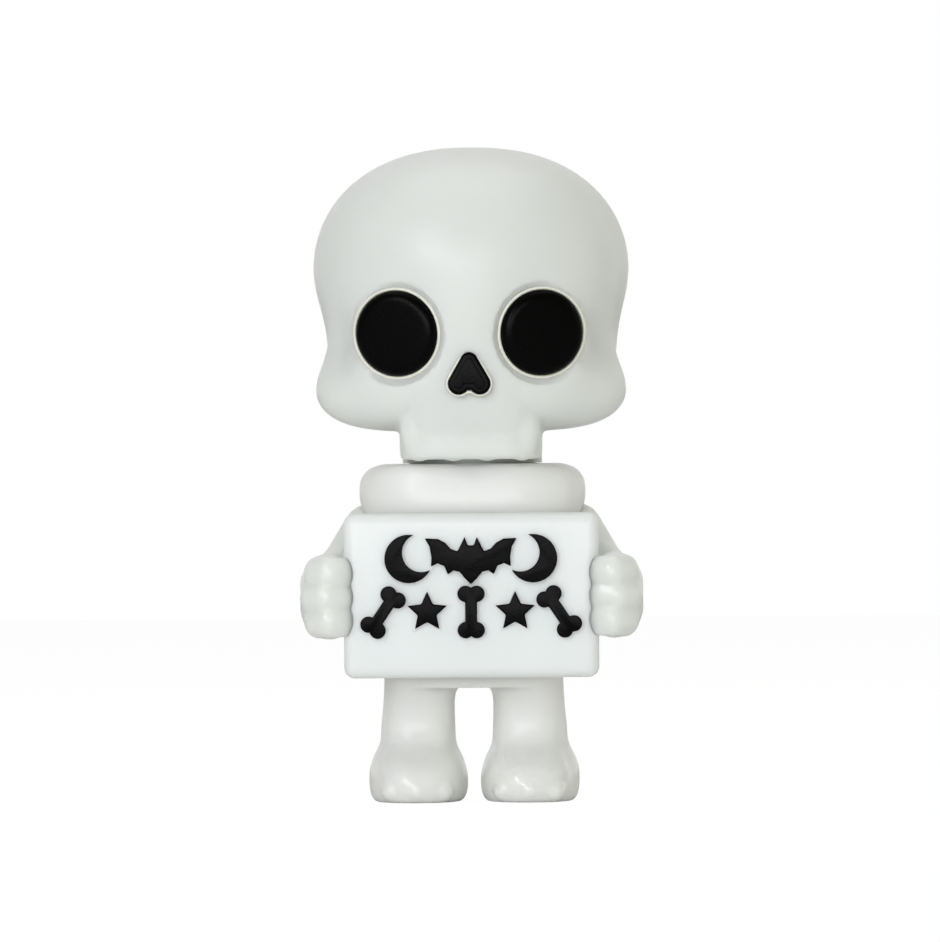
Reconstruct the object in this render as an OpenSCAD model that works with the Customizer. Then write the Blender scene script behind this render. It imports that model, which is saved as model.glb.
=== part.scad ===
// Battery night light: a skeleton figure in milk-white vinyl that holds a board.
// Millimetres, +Z up. The figure faces -Y, and its own left hand is on +X.
// The origin is on the ground, midway between the soles.

/* [Skull] */
// Width of the cranium
skull_w = 58; // [54:0.5:64]
// Depth of the cranium, brow to back
skull_d = 52; // [48:0.5:62]
// Height of the skull, underside of the cheeks to crown
skull_h = 52; // [46:0.5:60]
// Diameter of an eye button
eye_d = 15.8; // [13:0.1:17]
// Distance between the centres of the eyes
eye_gap = 26; // [24:0.1:29]
// Height of the eyes above the underside of the cheeks
eye_rise = 17.7; // [16:0.1:20]
// Width of the nose button
nose_w = 7.6; // [6:0.1:9]
// Height of the nose button's centre above the underside of the cheeks
nose_rise = 10.3; // [9:0.1:12]

/* [Neck] */
// Width of the row of upper teeth
teeth_w = 25.6; // [22:0.1:28]
// Number of teeth in the row
tooth_count = 4; // [2:1:6]
// Height of the neck between collar and skull
neck_h = 6; // [5.5:0.1:9]
// Diameter of the neck shaft that turns in the bearing
shaft_d = 23.2; // [20:0.1:23.4]
// Radial clearance of the shaft in its bearing
shaft_clearance = 0.06; // [0.03:0.01:0.1]

/* [Body] */
// Height of the torso, crotch to the top of the collar
torso_h = 41; // [40:0.5:48]
// Width of the collar
collar_w = 41.4; // [40:0.1:46]
// Depth of the collar
collar_d = 30.6; // [30:0.1:35]
// Width across the outsides of both legs at the hip
hip_w = 32.6; // [32:0.1:38]
// Height of the crotch above the ground
leg_h = 21; // [18:0.5:28]
// Gap between the legs
leg_gap = 7; // [5:0.1:9]
// Wall of the vinyl shells
wall = 2; // [1.6:0.1:2.2]

/* [Board] */
// Width of the board
board_w = 46.4; // [45:0.1:52]
// Height of the board
board_h = 30; // [28:0.1:34]
// Thickness of the board
board_t = 5; // [4:0.1:6]
// Height of the board's lower edge above the ground
board_rise = 23; // [22:0.1:26]

/* [Battery box] */
// Diameter of a button cell
cell_d = 11.6; // [11:0.1:12]
// Thickness of a button cell
cell_t = 5.4; // [5:0.1:5.6]
// Width of the battery door
door_w = 26; // [25:0.1:27]
// Gap round the battery door
door_gap = 0.3; // [0.2:0.05:0.35]

/* [Switch] */
// Travel of the switch knob
switch_travel = 2; // [1.5:0.1:2.4]

/* [Hidden] */

fine = 48;
touch = 0.01;

// Levels up the figure
collar_z = leg_h + torso_h;
skull_z = collar_z + neck_h;
crown_z = skull_z + skull_h;
widest_z = skull_z + 0.53 * skull_h;

// Fullness of the cranium above its widest level and of the face below it:
// 2 is an ellipse, and a larger number is squarer
crown_fullness = 2.25;
face_fullness = 6;
nape_fullness = 2.5;

// Swells and hollows of the face, each [centre, reach, push], for the side s
function side_features(s) = [
    [[s * 0.46 * skull_w, -0.18 * skull_d, skull_z + 7], 9, [s * 2.2, -0.6, -0.2]],
    [[s * 0.47 * skull_w, -0.3 * skull_d, skull_z + 15.4], 6.5, [s * -3.3, 1.4, 0]],
    [[s * 0.47 * skull_w, -0.05 * skull_d, skull_z + 16], 8, [s * -3.4, 0, 0]],
    [[s * 0.5 * eye_gap, -0.46 * skull_d, skull_z + eye_rise], 9, [0, 0.9, 0]]
];
muzzle = [[0, -0.47 * skull_d, skull_z + 3], 11, [0, 2, 0]];
features = concat(side_features(-1), side_features(1), [muzzle]);

eye_yaw = 18;
eye_pitch = -5;
eye_proud = 2.1;
eye_seat = 1.4;
eye_y = -0.385 * skull_d - 0.8;
eye_peg_d = 5;
eye_clearance = 0.12;
eye_cup_d = eye_d + 2 * 1.6;
nose_y = -0.47 * skull_d;
nose_proud = 0.9;
nose_seat = 1.6;
nose_peg_d = 2.6;
nose_clearance = 0.12;

// The neck: a shaft glued in the skull turns in a bearing clamped in the collar
neck_d = shaft_d + 2.4;
bearing_bore_d = shaft_d + 2 * shaft_clearance;
bearing_d = bearing_bore_d + 3.7;
bearing_h = 3.2;
shaft_bore_d = shaft_d - 3.6;
snap_d = bearing_bore_d + 2;
snap_h = 1.4;
end_play = 0.1;
shelf_gap = 0.3;
shelf_h = 2;
teeth_gap = 0.5;
teeth_y = -22;
teeth_d = 24;

// The torso's rings, crotch to collar: height, half width, half depth
chest_z = collar_z - 9;
collar_r = collar_w / 2;
collar_y = collar_d / 2;
hip_r = hip_w / 2;
hip_y = 12;
torso_rings = [
    [leg_h, hip_r - 0.6, hip_y - 0.6],
    [leg_h + 0.6, hip_r, hip_y],
    [leg_h + 8, hip_r + 0.5, hip_y + 0.4],
    [chest_z - 14, hip_r + 1.6, hip_y + 1],
    [chest_z - 3, collar_r - 2, collar_y - 1.7],
    [chest_z, collar_r - 1.2, collar_y - 1.2],
    [chest_z + 1.8, collar_r - 0.2, collar_y - 0.2],
    [chest_z + 4, collar_r, collar_y],
    [chest_z + 6.4, collar_r - 0.5, collar_y - 0.4],
    [chest_z + 8.2, collar_r - 2.2, collar_y - 0.9],
    [collar_z, collar_r - 4.4, collar_y - 1.7]
];

// One leg's rings, sole to hip: height, middle, half width, front, back
ankle = leg_gap / 2 + 6.75;
leg_rings = [
    [0, ankle, 7, 13.4, 7],
    [0.8, ankle, 8.1, 14.4, 7.8],
    [2.2, ankle, 8.7, 15, 8.4],
    [4, ankle, 8.9, 15.1, 8.5],
    [6, ankle + 0.1, 8.75, 14, 8.4],
    [8, ankle + 0.1, 8.2, 11.6, 8],
    [9.6, ankle + 0.1, 7.4, 9, 7.4],
    [11.2, ankle + 0.05, 6.9, 8.4, 7],
    [leg_h - 4, ankle - 0.1, 6.6, 8.1, 6.8],
    [leg_h - 1.2, ankle - 0.35, 6.6, 9.2, 7],
    [leg_h + 0.4, ankle - 1.1, 7.2, 10.2, 8.2]
];
toe_pitch = 4.5;
toe_depth = 0.9;
toe_h = 6.5;

// The board and what it carries
board_back_y = -collar_y - 0.4;
board_front_y = board_back_y - board_t;
board_z = board_rise + board_h / 2;
board_round = 1.7;
board_peg_d = 4;
board_peg_span = 22;
board_peg_l = 3;
board_pad_d = 7;
peg_clearance = 0.1;
motif_h = 1.1;
motif_bevel = 0.35;
stroke = 2.4;
upper_row_z = board_rise + 21.7;
lower_row_z = board_rise + 12;

// Arms: the shoulder plugs into the side of the torso, and the hand holds the board
shoulder_z = chest_z - 3;
shoulder_peg_d = 6;
shoulder_cap_d = 8;
shoulder_cap_t = 1.8;
palm = [board_w / 2 + 2.7, board_back_y + 1.4, board_rise + 14.8];
finger_pitch = 4.5;
finger_r = 3;
arm_clearance = 0.05;

// Battery box, lying across the torso behind the board
box_wall = 1.3;
box_room = 0.2;
spring_l = 4.2;
plate_t = 0.4;
cell_count = 3;
stack_l = cell_count * cell_t;
box_in_l = stack_l + spring_l + 2 * plate_t;
box_in_h = cell_d + 2 * box_room;
box_l = box_in_l + 2 * box_wall;
box_h = box_in_h + 2 * box_wall;
box_base_z = leg_h + 13.6;
cell_z = box_base_z + box_h / 2;
cell_y = 2.7;
box_front_y = cell_y - box_in_h / 2 - box_wall;
box_rear_y = 6.4;
stack_x = box_in_l / 2 - plate_t - stack_l;

// Battery door in the back of the torso
door_sill_z = leg_h + 8.4;
door_head_z = box_base_z + box_h + 1.6;
backing_t = 1.4;
backing_margin = 1.6;
door_rest = 0.05;
screw_z = door_sill_z + 2.2;
door_screw_d = 2;
door_screw_l = 6;
door_screw_head_d = 3.6;
door_screw_head_h = 1.2;
boss_wall = 1.2;
shelf_t = 1.6;

// Case screws, two at the collar and two at the hip: [x, z, y of the head's seat]
case_screws = [for (s = [-1, 1]) each [[s * 11.2, chest_z + 1.2, 8], [s * 10.5, leg_h + 4.4, 5.5]]];
case_screw_d = 2;
case_screw_head_d = 4;
case_screw_head_h = 1.6;
case_screw_grip = 6;
case_boss_d = 4.8;
hole_clearance = 0.05;

// Light board and lamp under the neck
pcb = [19, 15, 1.2];
pcb_z = box_base_z + box_h;
lamp_d = 5;
lamp_rim_d = 5.8;
lamp_h = 8.6;

// Slide switch under the battery door
switch_z = leg_h + 4.6;
switch_size = [8.6, 3.5, 3.8];
switch_seat_y = 9;
switch_wall = 0.8;
knob_w = 1.8;
knob_h = 1.6;
knob_out = 1.3;
knob_room = 0.15;
wire_d = 1;
wire_x = box_l / 2 + wire_d / 2;
wire_y = box_front_y + 3;
switch_front_y = switch_seat_y - switch_size[1];

// A power that keeps the sign of its base
function signed_pow(v, e) = sign(v) * pow(abs(v), e);

// The sum of a list of points
function total(v, i = 0) = i < len(v) ? v[i] + total(v, i + 1) : [0, 0, 0];

// A point of the face after its swells and hollows have pushed it. A point on the seam stays on it
function push_at(p) = total([for (f = features) f[2] * exp(-pow(norm(p - f[0]) / f[1], 2))]);
function shaped(p) =
    let (d = push_at(p))
    [p[0] + d[0], abs(p[1]) < touch ? 0 : p[1] + d[1], p[2] + d[2]];

// A smooth curve through the rows of a list, at t from 0 to 1
function smooth(rows, t) =
    let (
        n = len(rows) - 1,
        i = min(floor(t * n), n - 1),
        u = t * n - i,
        a = rows[max(i - 1, 0)],
        b = rows[i],
        c = rows[i + 1],
        d = rows[min(i + 2, n)]
    )
    b + 0.5 * u * (c - a + u * (2 * a - 5 * b + 4 * c - d + u * (3 * (b - c) + d - a)));

// A closed skin through rings of points, with a fan over each end
module loft(rings) {
    n = len(rings[0]);
    last = len(rings) - 1;
    ends = [for (k = [0, last]) total(rings[k]) / n];
    points = concat([for (r = rings) each r], ends);
    low = len(points) - 2;
    faces = concat(
        [for (k = [0 : last - 1], i = [0 : n - 1]) [k * n + i, (k + 1) * n + i, (k + 1) * n + (i + 1) % n]],
        [for (k = [0 : last - 1], i = [0 : n - 1]) [k * n + i, (k + 1) * n + (i + 1) % n, k * n + (i + 1) % n]],
        [for (i = [0 : n - 1]) [low, i, (i + 1) % n]],
        [for (i = [0 : n - 1]) [low + 1, last * n + (i + 1) % n, last * n + i]]
    );
    polyhedron(points = points, faces = faces, convexity = 6);
}

// Evaluates its children as one mesh: a minkowski() of one shape is that shape
module as_one_mesh() {
    minkowski() {
        union() children();
    }
}

// A tube of a diameter along a list of points, with flat ends
module tube_along(path, d, sides) {
    last = len(path) - 1;
    loft([
        for (i = [0 : last])
            let (
                t = path[min(i + 1, last)] - path[max(i - 1, 0)],
                w = t / norm(t),
                side = cross(w, [1, 0, 0.01]),
                u = side / norm(side),
                v = cross(w, u)
            )
            [for (k = [0 : sides - 1]) path[i] + d / 2 * (u * cos(360 * k / sides) + v * sin(360 * k / sides))]
    ]);
}

// Skull skin, grown outwards by a distance, or inwards when it is negative
module skull_skin(grow) {
    steps = grow < -1 ? 8 : 13;
    around = grow < -1 ? 28 : 44;
    loft([
        for (k = [-steps + 0.4, each [-steps + 1 : steps - 1], steps - 0.4])
            let (
                u = 90 * k / steps,
                h = (u > 0 ? crown_z - widest_z : widest_z - skull_z) + grow
            )
            [
                for (i = [0 : around - 1])
                    let (
                        q = 360 * i / around,
                        front = max(0, min(1, 0.6 - 0.8 * sin(q))),
                        low = nape_fullness + (face_fullness - nape_fullness) * front,
                        n = u > 0 ? crown_fullness : low,
                        out = pow(pow(cos(u), n) + pow(abs(sin(u)), n), -1 / n),
                        r = out * cos(u),
                        z = widest_z + h * out * sin(u)
                    )
                    shaped([(skull_w / 2 + grow) * r * cos(q), (skull_d / 2 + grow) * r * sin(q), z])
            ]
    ]);
}

// Block of upper teeth in front of the neck: rings of a squared oval with a wavy front
module teeth_skin(grow) {
    tooth = teeth_w / tooth_count;
    top = skull_z + 8;
    base = collar_z + teeth_gap - min(grow, 0);
    half_d = teeth_d / 2 + grow;
    for_base = [[base, -1.3], [base + 0.5, -0.5], [base + 1.3, 0], [skull_z - 0.5, 0.15], [skull_z + 2, 0.6], [top, 0.8]];
    around = grow < 0 ? 24 : 48;
    loft([
        for (row = for_base)
            [
                for (i = [0 : around - 1])
                    let (
                        q = 360 * i / around,
                        x = (teeth_w / 2 + grow + row[1]) * signed_pow(cos(q), 0.55),
                        y = (half_d + row[1]) * signed_pow(sin(q), 0.55),
                        wave = grow < 0 || y > 0 ? 0 : abs(cos(180 * (x / tooth + (tooth_count % 2 + 1) / 2))),
                        low = max(0, 1 - (row[0] - base) / 1.4)
                    )
                    [x, teeth_y + teeth_d / 2 + y - 0.45 * (wave - 1) * (row[0] < skull_z ? -1 : 0), row[0] + 0.7 * low * (1 - wave)]
            ]
    ]);
}

// Places its children at an eye, with +Z out of the face
module at_eye(s) {
    translate([s * eye_gap / 2, eye_y, skull_z + eye_rise])
        rotate([0, 0, s * eye_yaw])
            rotate([90 - eye_pitch, 0, 0])
                children();
}

// Places its children at the nose, with +Z out of the face
module at_nose() {
    translate([0, nose_y, skull_z + nose_rise])
        rotate([90, 0, 0])
            children();
}

// Outline of the nose: a rounded triangle on two lobes
module nose_outline(grow) {
    lobe_r = nose_w / 4;
    for (s = [-1, 1])
        hull() {
            translate([0, 0.3 * nose_w])
                circle(0.2 * nose_w + grow, $fn = 24);
            translate([s * lobe_r, -lobe_r])
                circle(lobe_r + grow, $fn = 24);
            translate([0, -0.22 * nose_w])
                circle(0.1 * nose_w + grow, $fn = 24);
        }
}

module skull_shell() {
    difference() {
        union() {
            difference() {
                union() {
                    skull_skin(0);
                    teeth_skin(0);
                }
                skull_skin(-wall);
                teeth_skin(-wall);
            }
            intersection() {
                union() {
                    for (s = [-1, 1])
                        at_eye(s)
                            translate([0, 0, -5])
                                cylinder(h = 10, d = eye_cup_d, $fn = 48);
                    at_nose()
                        translate([0, 0, -4.5])
                            cylinder(h = 6, d = nose_w + 2, $fn = 32);
                }
                union() {
                    skull_skin(-touch);
                    teeth_skin(-touch);
                }
            }
            // Seat of the neck shaft inside the skull's base
            intersection() {
                translate([0, 0, skull_z + 1])
                    cylinder(h = 2.4, d = neck_d + 4, $fn = fine);
                skull_skin(-touch);
            }
        }
        for (s = [-1, 1])
            at_eye(s) {
                translate([0, 0, -eye_seat])
                    cylinder(h = 12, d = eye_d + 2 * eye_clearance, $fn = 48);
                translate([0, 0, -8])
                    cylinder(h = 10, d = eye_peg_d + 2 * eye_clearance, $fn = 32);
            }
        at_nose() {
            translate([0, 0, -nose_seat])
                linear_extrude(8)
                    nose_outline(nose_clearance);
            translate([0, 0, -8])
                cylinder(h = 8, d = nose_peg_d + 2 * nose_clearance, $fn = 24);
        }
        translate([0, 0, collar_z])
            cylinder(h = neck_h + 1.2, d = neck_d + 0.2, $fn = fine);
        translate([0, 0, collar_z])
            cylinder(h = neck_h + 12, d = shaft_d + 0.3, $fn = fine);
    }
}

// The half of space on one side of the seam: s is -1 for the front and 1 for the back
module half_space(s) {
    translate([-100, s < 0 ? -100 : 0, -10])
        cube([200, 100, 200]);
}

module skull_face() {
    color("#e6eae6")
        as_one_mesh()
            intersection() {
                skull_shell();
                half_space(-1);
            }
}

module skull_back() {
    color("#e6eae6")
        as_one_mesh()
            intersection() {
                skull_shell();
                half_space(1);
            }
}

// Eye: a button with a broad rounded bevel, and a peg through the skull
module eye_button(s) {
    r = eye_d / 2;
    flat_r = r - 1.9;
    color("#101214")
        at_eye(s) {
            rotate_extrude($fn = fine)
                polygon(concat(
                    [[0, -eye_seat], [r, -eye_seat], [r, 0.4]],
                    [for (a = [15 : 15 : 75]) [flat_r + 1.9 * cos(a), 0.4 + (eye_proud - 0.4) * sin(a)]],
                    [[flat_r, eye_proud], [0, eye_proud]]
                ));
            translate([0, 0, -eye_seat - 4.4])
                cylinder(h = 4.5, d = eye_peg_d, $fn = 32);
        }
}

// Nose: a plinth in the skull's recess with a smaller raised face
module nose_button() {
    color("#101214")
        at_nose() {
            translate([0, 0, -nose_seat])
                linear_extrude(nose_seat + nose_proud)
                    nose_outline(0);
            translate([0, 0, nose_proud - touch])
                linear_extrude(0.5)
                    nose_outline(-0.8);
            translate([0, 0, -nose_seat - 3])
                cylinder(h = 3.1, d = nose_peg_d, $fn = 24);
        }
}

// Shaft of the neck: it stands on the bearing, snaps under it and carries the skull
module neck_shaft() {
    color("#eef0ee")
        rotate_extrude($fn = 48)
            polygon([
                [shaft_bore_d / 2, collar_z - bearing_h - 2 * end_play - snap_h],
                [snap_d / 2 - 0.4, collar_z - bearing_h - 2 * end_play - snap_h],
                [snap_d / 2, collar_z - bearing_h - 2 * end_play - snap_h + 0.4],
                [snap_d / 2, collar_z - bearing_h - 2 * end_play],
                [shaft_d / 2, collar_z - bearing_h - 2 * end_play],
                [shaft_d / 2, collar_z + end_play],
                [neck_d / 2, collar_z + end_play],
                [neck_d / 2, skull_z + 1.2],
                [shaft_d / 2, skull_z + 1.2],
                [shaft_d / 2, skull_z + 4.4],
                [shaft_bore_d / 2, skull_z + 4.4]
            ]);
}

// Bearing ring clamped in the collar between the two body shells
module neck_bearing() {
    color("#f2f2ee")
        translate([0, 0, collar_z - bearing_h])
            difference() {
                cylinder(h = bearing_h, d = bearing_d, $fn = 48);
                translate([0, 0, -1])
                    cylinder(h = bearing_h + 2, d = bearing_bore_d, $fn = 48);
            }
}

// Torso skin, grown by a distance
module torso_skin(grow) {
    steps = grow < -1 ? 10 : 18;
    around = grow < -1 ? 24 : 36;
    loft([
        for (k = [0 : steps])
            let (
                row = smooth(torso_rings, k / steps),
                z = k == 0 ? row[0] - grow : k == steps ? row[0] + grow : row[0]
            )
            [
                for (i = [0 : around - 1])
                    let (q = 360 * i / around)
                    [(row[1] + grow) * signed_pow(cos(q), 0.68), (row[2] + grow) * signed_pow(sin(q), 0.68), z]
            ]
    ]);
}

// One leg and foot, grown by a distance; the toes are waves along the front of the sole
module leg_skin(s, grow) {
    steps = grow < -1 ? 7 : 14;
    around = grow < -1 ? 16 : 28;
    loft([
        for (k = [0 : steps])
            let (
                row = smooth(leg_rings, k / steps),
                z = k == 0 ? row[0] - grow : row[0] - (k == steps ? -grow : 0),
                toes = grow < 0 ? 0 : toe_depth * max(0, 1 - pow(row[0] / toe_h, 2))
            )
            [
                for (i = [0 : around - 1])
                    let (
                        q = 360 * i / around,
                        x = (row[2] + grow) * signed_pow(cos(q), 0.85),
                        reach = sin(q) < 0 ? row[3] : row[4],
                        wave = sin(q) < 0 ? toes * (abs(cos(180 * x / toe_pitch)) - 1) : 0
                    )
                    [s * row[1] + x, (reach + grow + wave) * signed_pow(sin(q), 0.85), z]
            ]
    ]);
}

// A block through the back of the torso, seen as the battery door's outline grown by a margin
module door_prism(grow) {
    translate([-door_w / 2 - grow, 1, door_sill_z - grow])
        cube([door_w + 2 * grow, 30, door_head_z - door_sill_z + 2 * grow]);
}

// Both halves of the body as one hollow shell, before it is cut along the seam
module body_shell() {
    difference() {
        union() {
            difference() {
                union() {
                    torso_skin(0);
                    for (s = [-1, 1])
                        leg_skin(s, 0);
                }
                torso_skin(-wall);
                for (s = [-1, 1])
                    leg_skin(s, -wall);
            }
            // Shelf under the neck bearing
            intersection() {
                translate([0, 0, collar_z - bearing_h - shelf_h])
                    cylinder(h = shelf_h, d = bearing_d + 4, $fn = fine);
                torso_skin(-touch);
            }
            // Pads that hold the board off the chest
            for (s = [-1, 1])
                translate([s * board_peg_span / 2, board_back_y + board_peg_l + 2, board_z])
                    rotate([90, 0, 0])
                        cylinder(h = board_peg_l + 2, d = board_pad_d, $fn = 32);
            // Bosses of the case screws
            intersection() {
                for (c = case_screws)
                    translate([c[0], -20, c[1]])
                        rotate([-90, 0, 0])
                            cylinder(h = 40, d = case_boss_d, $fn = 32);
                torso_skin(-touch);
            }
            // Backing behind the battery door, and the shelf that the battery box stands on
            intersection() {
                difference() {
                    door_prism(backing_margin);
                    torso_skin(-wall - backing_t);
                }
                torso_skin(-touch);
            }
            intersection() {
                translate([-box_l / 2 - 0.6, 0.4, box_base_z - shelf_t])
                    cube([box_l + 1.2, 30, shelf_t]);
                torso_skin(-touch);
            }
            intersection() {
                translate([0, 3, screw_z])
                    rotate([-90, 0, 0])
                        cylinder(h = 20, d = door_screw_d + 2 * boss_wall, $fn = 32);
                torso_skin(-touch);
            }
            // Pad behind the switch
            intersection() {
                translate([-switch_size[0] / 2 - 1, switch_seat_y, switch_z - switch_size[2] / 2 - 0.6])
                    cube([switch_size[0] + 2, 4, switch_size[2] + 1.2]);
                torso_skin(-touch);
            }
        }
        // Mouth of the collar: the bearing's seat, and room for the shaft's snap below it
        translate([0, 0, collar_z - bearing_h])
            cylinder(h = bearing_h + 5, d = bearing_d + 0.1, $fn = 48);
        translate([0, 0, collar_z - bearing_h - shelf_h - 1])
            cylinder(h = shelf_h + 3, d = snap_d + 2 * shelf_gap, $fn = fine);
        // Sockets of the board's pegs
        for (s = [-1, 1])
            translate([s * board_peg_span / 2, board_back_y - 1, board_z])
                rotate([-90, 0, 0])
                    cylinder(h = board_peg_l + 1.1, d = board_peg_d + 2 * peg_clearance, $fn = 32);
        // Shoulder holes
        for (s = [-1, 1])
            translate([s * 10, 0, shoulder_z])
                rotate([0, s * 90, 0])
                    cylinder(h = 20, d = shoulder_peg_d + 2 * peg_clearance, $fn = 32);
        // Case screws: a clear hole behind the seam, a pilot hole before it, and the head's well
        for (c = case_screws)
            translate([c[0], 0, c[1]])
                rotate([-90, 0, 0]) {
                    translate([0, 0, -case_screw_grip - 1])
                        cylinder(h = 30, d = case_screw_d + 2 * hole_clearance, $fn = 24);
                    translate([0, 0, c[2]])
                        cylinder(h = 20, d = case_screw_head_d + 0.4, $fn = 32);
                }
        // Battery door's recess, the window behind it, and the hole of its screw
        difference() {
            door_prism(0);
            torso_skin(-wall);
        }
        translate([-box_in_l / 2, box_rear_y - 0.4, cell_z - box_in_h / 2])
            cube([box_in_l, 20, box_in_h]);
        translate([0, 4, screw_z])
            rotate([-90, 0, 0])
                cylinder(h = 20, d = door_screw_d + 2 * hole_clearance, $fn = 24);
        // Slot of the switch knob
        translate([-knob_w / 2 - switch_travel / 2 - knob_room, 0, switch_z - knob_h / 2 - knob_room])
            cube([knob_w + switch_travel + 2 * knob_room, 20, knob_h + 2 * knob_room]);
    }
}

module body_front() {
    color("#e6eae6")
        as_one_mesh()
            intersection() {
                body_shell();
                half_space(-1);
            }
}

module body_back() {
    color("#e6eae6")
        as_one_mesh()
            intersection() {
                body_shell();
                half_space(1);
            }
}

// Arm and hand: hulls of balls from the shoulder to the palm, and four fingers round the board
module arm(s) {
    shoulder = [collar_r - 1.4, 0.5, shoulder_z];
    elbow = [board_w / 2 - 0.1, -5.5, shoulder_z - 6.6];
    color("#e6eae6")
        as_one_mesh() {
            difference() {
                scale([s, 1, 1]) {
                    hull() {
                        translate(shoulder)
                            sphere(4.6, $fn = 16);
                        translate(elbow)
                            sphere(4.8, $fn = 16);
                    }
                    hull() {
                        translate(elbow)
                            sphere(4.8, $fn = 16);
                        translate(palm)
                            scale([0.85, 1, 1.3])
                                sphere(5.8, $fn = 18);
                    }
                    for (i = [-1 : 1])
                        finger(i);
                }
                translate([0, board_back_y - board_t, board_rise])
                    board_room();
                torso_skin(arm_clearance);
            }
            shoulder_peg(s);
        }
}

// One finger of the left hand, from the palm round the edge of the board to its front
module finger(i) {
    z = palm[2] + i * finger_pitch;
    in = i == 0 ? 0 : 0.6;
    back = [palm[0] + 1.6 - in, palm[1] - 1, z];
    side = [palm[0] + 2.3 - in, board_back_y - board_t / 2 - 0.4, z];
    tip = [board_w / 2 + 0.6, board_front_y + 0.6, z];
    for (ends = [[back, side], [side, tip]])
        hull() {
            translate(ends[0])
                sphere(finger_r, $fn = 16);
            translate(ends[1])
                sphere(finger_r, $fn = 16);
        }
}

// The board's own volume with a hair of clearance, cut out of the hands
module board_room() {
    translate([-board_w / 2 - arm_clearance, -arm_clearance, -arm_clearance])
        cube([board_w + 2 * arm_clearance, board_t + 2 * arm_clearance, board_h + 2 * arm_clearance]);
}

// Shoulder peg with a cap that the two body shells close round
module shoulder_peg(s) {
    inside = collar_r - 2 - wall - 0.4;
    translate([s * (inside - shoulder_cap_t), 0, shoulder_z])
        rotate([0, s * 90, 0]) {
            cylinder(h = wall + 3.4, d = shoulder_peg_d, $fn = 32);
            cylinder(h = shoulder_cap_t, d = shoulder_cap_d, $fn = 32);
        }
}

module arm_left() {
    arm(1);
}

module arm_right() {
    arm(-1);
}

// A rectangle with rounded corners about the origin
module rounded_rect(w, h, r) {
    difference() {
        square([w, h], center = true);
        for (s = [-1, 1], t = [-1, 1])
            translate([s * (w / 2 - r), t * (h / 2 - r)])
                difference() {
                    translate([s > 0 ? 0 : -r - 1, t > 0 ? 0 : -r - 1])
                        square(r + 1);
                    circle(r, $fn = 48);
                }
    }
}

// A slab about the origin with every edge rounded: what three rounded prisms share
module rounded_slab(size, r) {
    intersection() {
        translate([0, 0, -size[2] / 2])
            linear_extrude(size[2])
                rounded_rect(size[0], size[1], r);
        translate([0, size[1] / 2, 0])
            rotate([90, 0, 0])
                linear_extrude(size[1])
                    rounded_rect(size[0], size[2], r);
        translate([-size[0] / 2, 0, 0])
            rotate([90, 0, 90])
                linear_extrude(size[0])
                    rounded_rect(size[1], size[2], r);
    }
}

// Board: a slab with rounded edges, and two pegs that plug into the chest
module sign_board() {
    color("#eef0f0") {
        translate([0, (board_front_y + board_back_y) / 2, board_z])
            rounded_slab([board_w, board_t, board_h], board_round);
        for (s = [-1, 1])
            translate([s * board_peg_span / 2, board_back_y - 1, board_z])
                rotate([-90, 0, 0])
                    cylinder(h = board_peg_l + 0.9, d = board_peg_d, $fn = 48);
    }
}

// A raised emblem on the board: its outline in two layers, the upper one drawn in by the bevel
module emblem(x, z) {
    translate([x, board_front_y, z])
        rotate([90, 0, 0]) {
            linear_extrude(motif_h - motif_bevel)
                children();
            translate([0, 0, motif_h - motif_bevel - touch])
                linear_extrude(motif_bevel + touch)
                    offset(delta = -motif_bevel)
                        children();
        }
}

module bone_outline(tilt) {
    rotate(tilt) {
        for (s = [-1, 1], t = [-1, 1])
            translate([s * 3.3, t * 1])
                circle(0.62 * stroke, $fn = 32);
        square([6.8, 0.9 * stroke], center = true);
    }
}

module star_outline() {
    polygon([for (i = [0 : 9]) (i % 2 == 0 ? 3.8 : 1.8) * [sin(36 * i), cos(36 * i)]]);
}

module moon_outline() {
    difference() {
        circle(4.4, $fn = 48);
        translate([2.3, 1.1])
            circle(3.5, $fn = 48);
    }
}

module bat_outline() {
    half = [
        [0.5, 2], [1, 3.3], [1.7, 2], [2.2, 1.1], [3.3, 1.5], [4.2, 2.4], [5.4, 3], [7.6, 3.1],
        [6.8, 1.8], [6.5, 0.2], [6.6, -1.2], [5.5, -0.7], [4.4, -1.1], [3.8, -2.4], [2.9, -1.8],
        [1.9, -2], [1, -3], [0, -3.9]
    ];
    scale([1.1, 1.2])
        polygon(concat(half, [for (i = [len(half) - 2 : -1 : 0]) [-half[i][0], half[i][1]]]));
}

module sign_motif_upper() {
    color("#101214") {
        emblem(-11.3, upper_row_z)
            moon_outline();
        emblem(0, upper_row_z)
            bat_outline();
        emblem(11.3, upper_row_z)
            mirror([1, 0])
                moon_outline();
    }
}

module sign_motif_lower() {
    color("#101214")
        for (i = [-2 : 2])
            emblem(8 * i, lower_row_z) {
                if (i % 2 == 0)
                    bone_outline(90 + 17 * i);
                else
                    star_outline();
            }
}

// The four screws that hold the body shells together
module body_screws() {
    color("#b8bcc0")
        for (c = case_screws)
            translate([c[0], c[2], c[1]])
                rotate([-90, 0, 0])
                    difference() {
                        union() {
                            cylinder(h = case_screw_head_h, d = case_screw_head_d, $fn = 32);
                            translate([0, 0, -c[2] - case_screw_grip])
                                cylinder(h = c[2] + case_screw_grip + touch, d = case_screw_d, $fn = 32);
                        }
                        cross_slot(case_screw_head_h, case_screw_head_d);
                    }
}

// A cross-shaped driver slot in the top of a screw head
module cross_slot(head_h, head_d) {
    for (a = [0, 90])
        rotate([0, 0, a])
            translate([-0.3 * head_d, -0.3, head_h - 0.7])
                cube([0.6 * head_d, 0.6, 2]);
}

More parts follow.
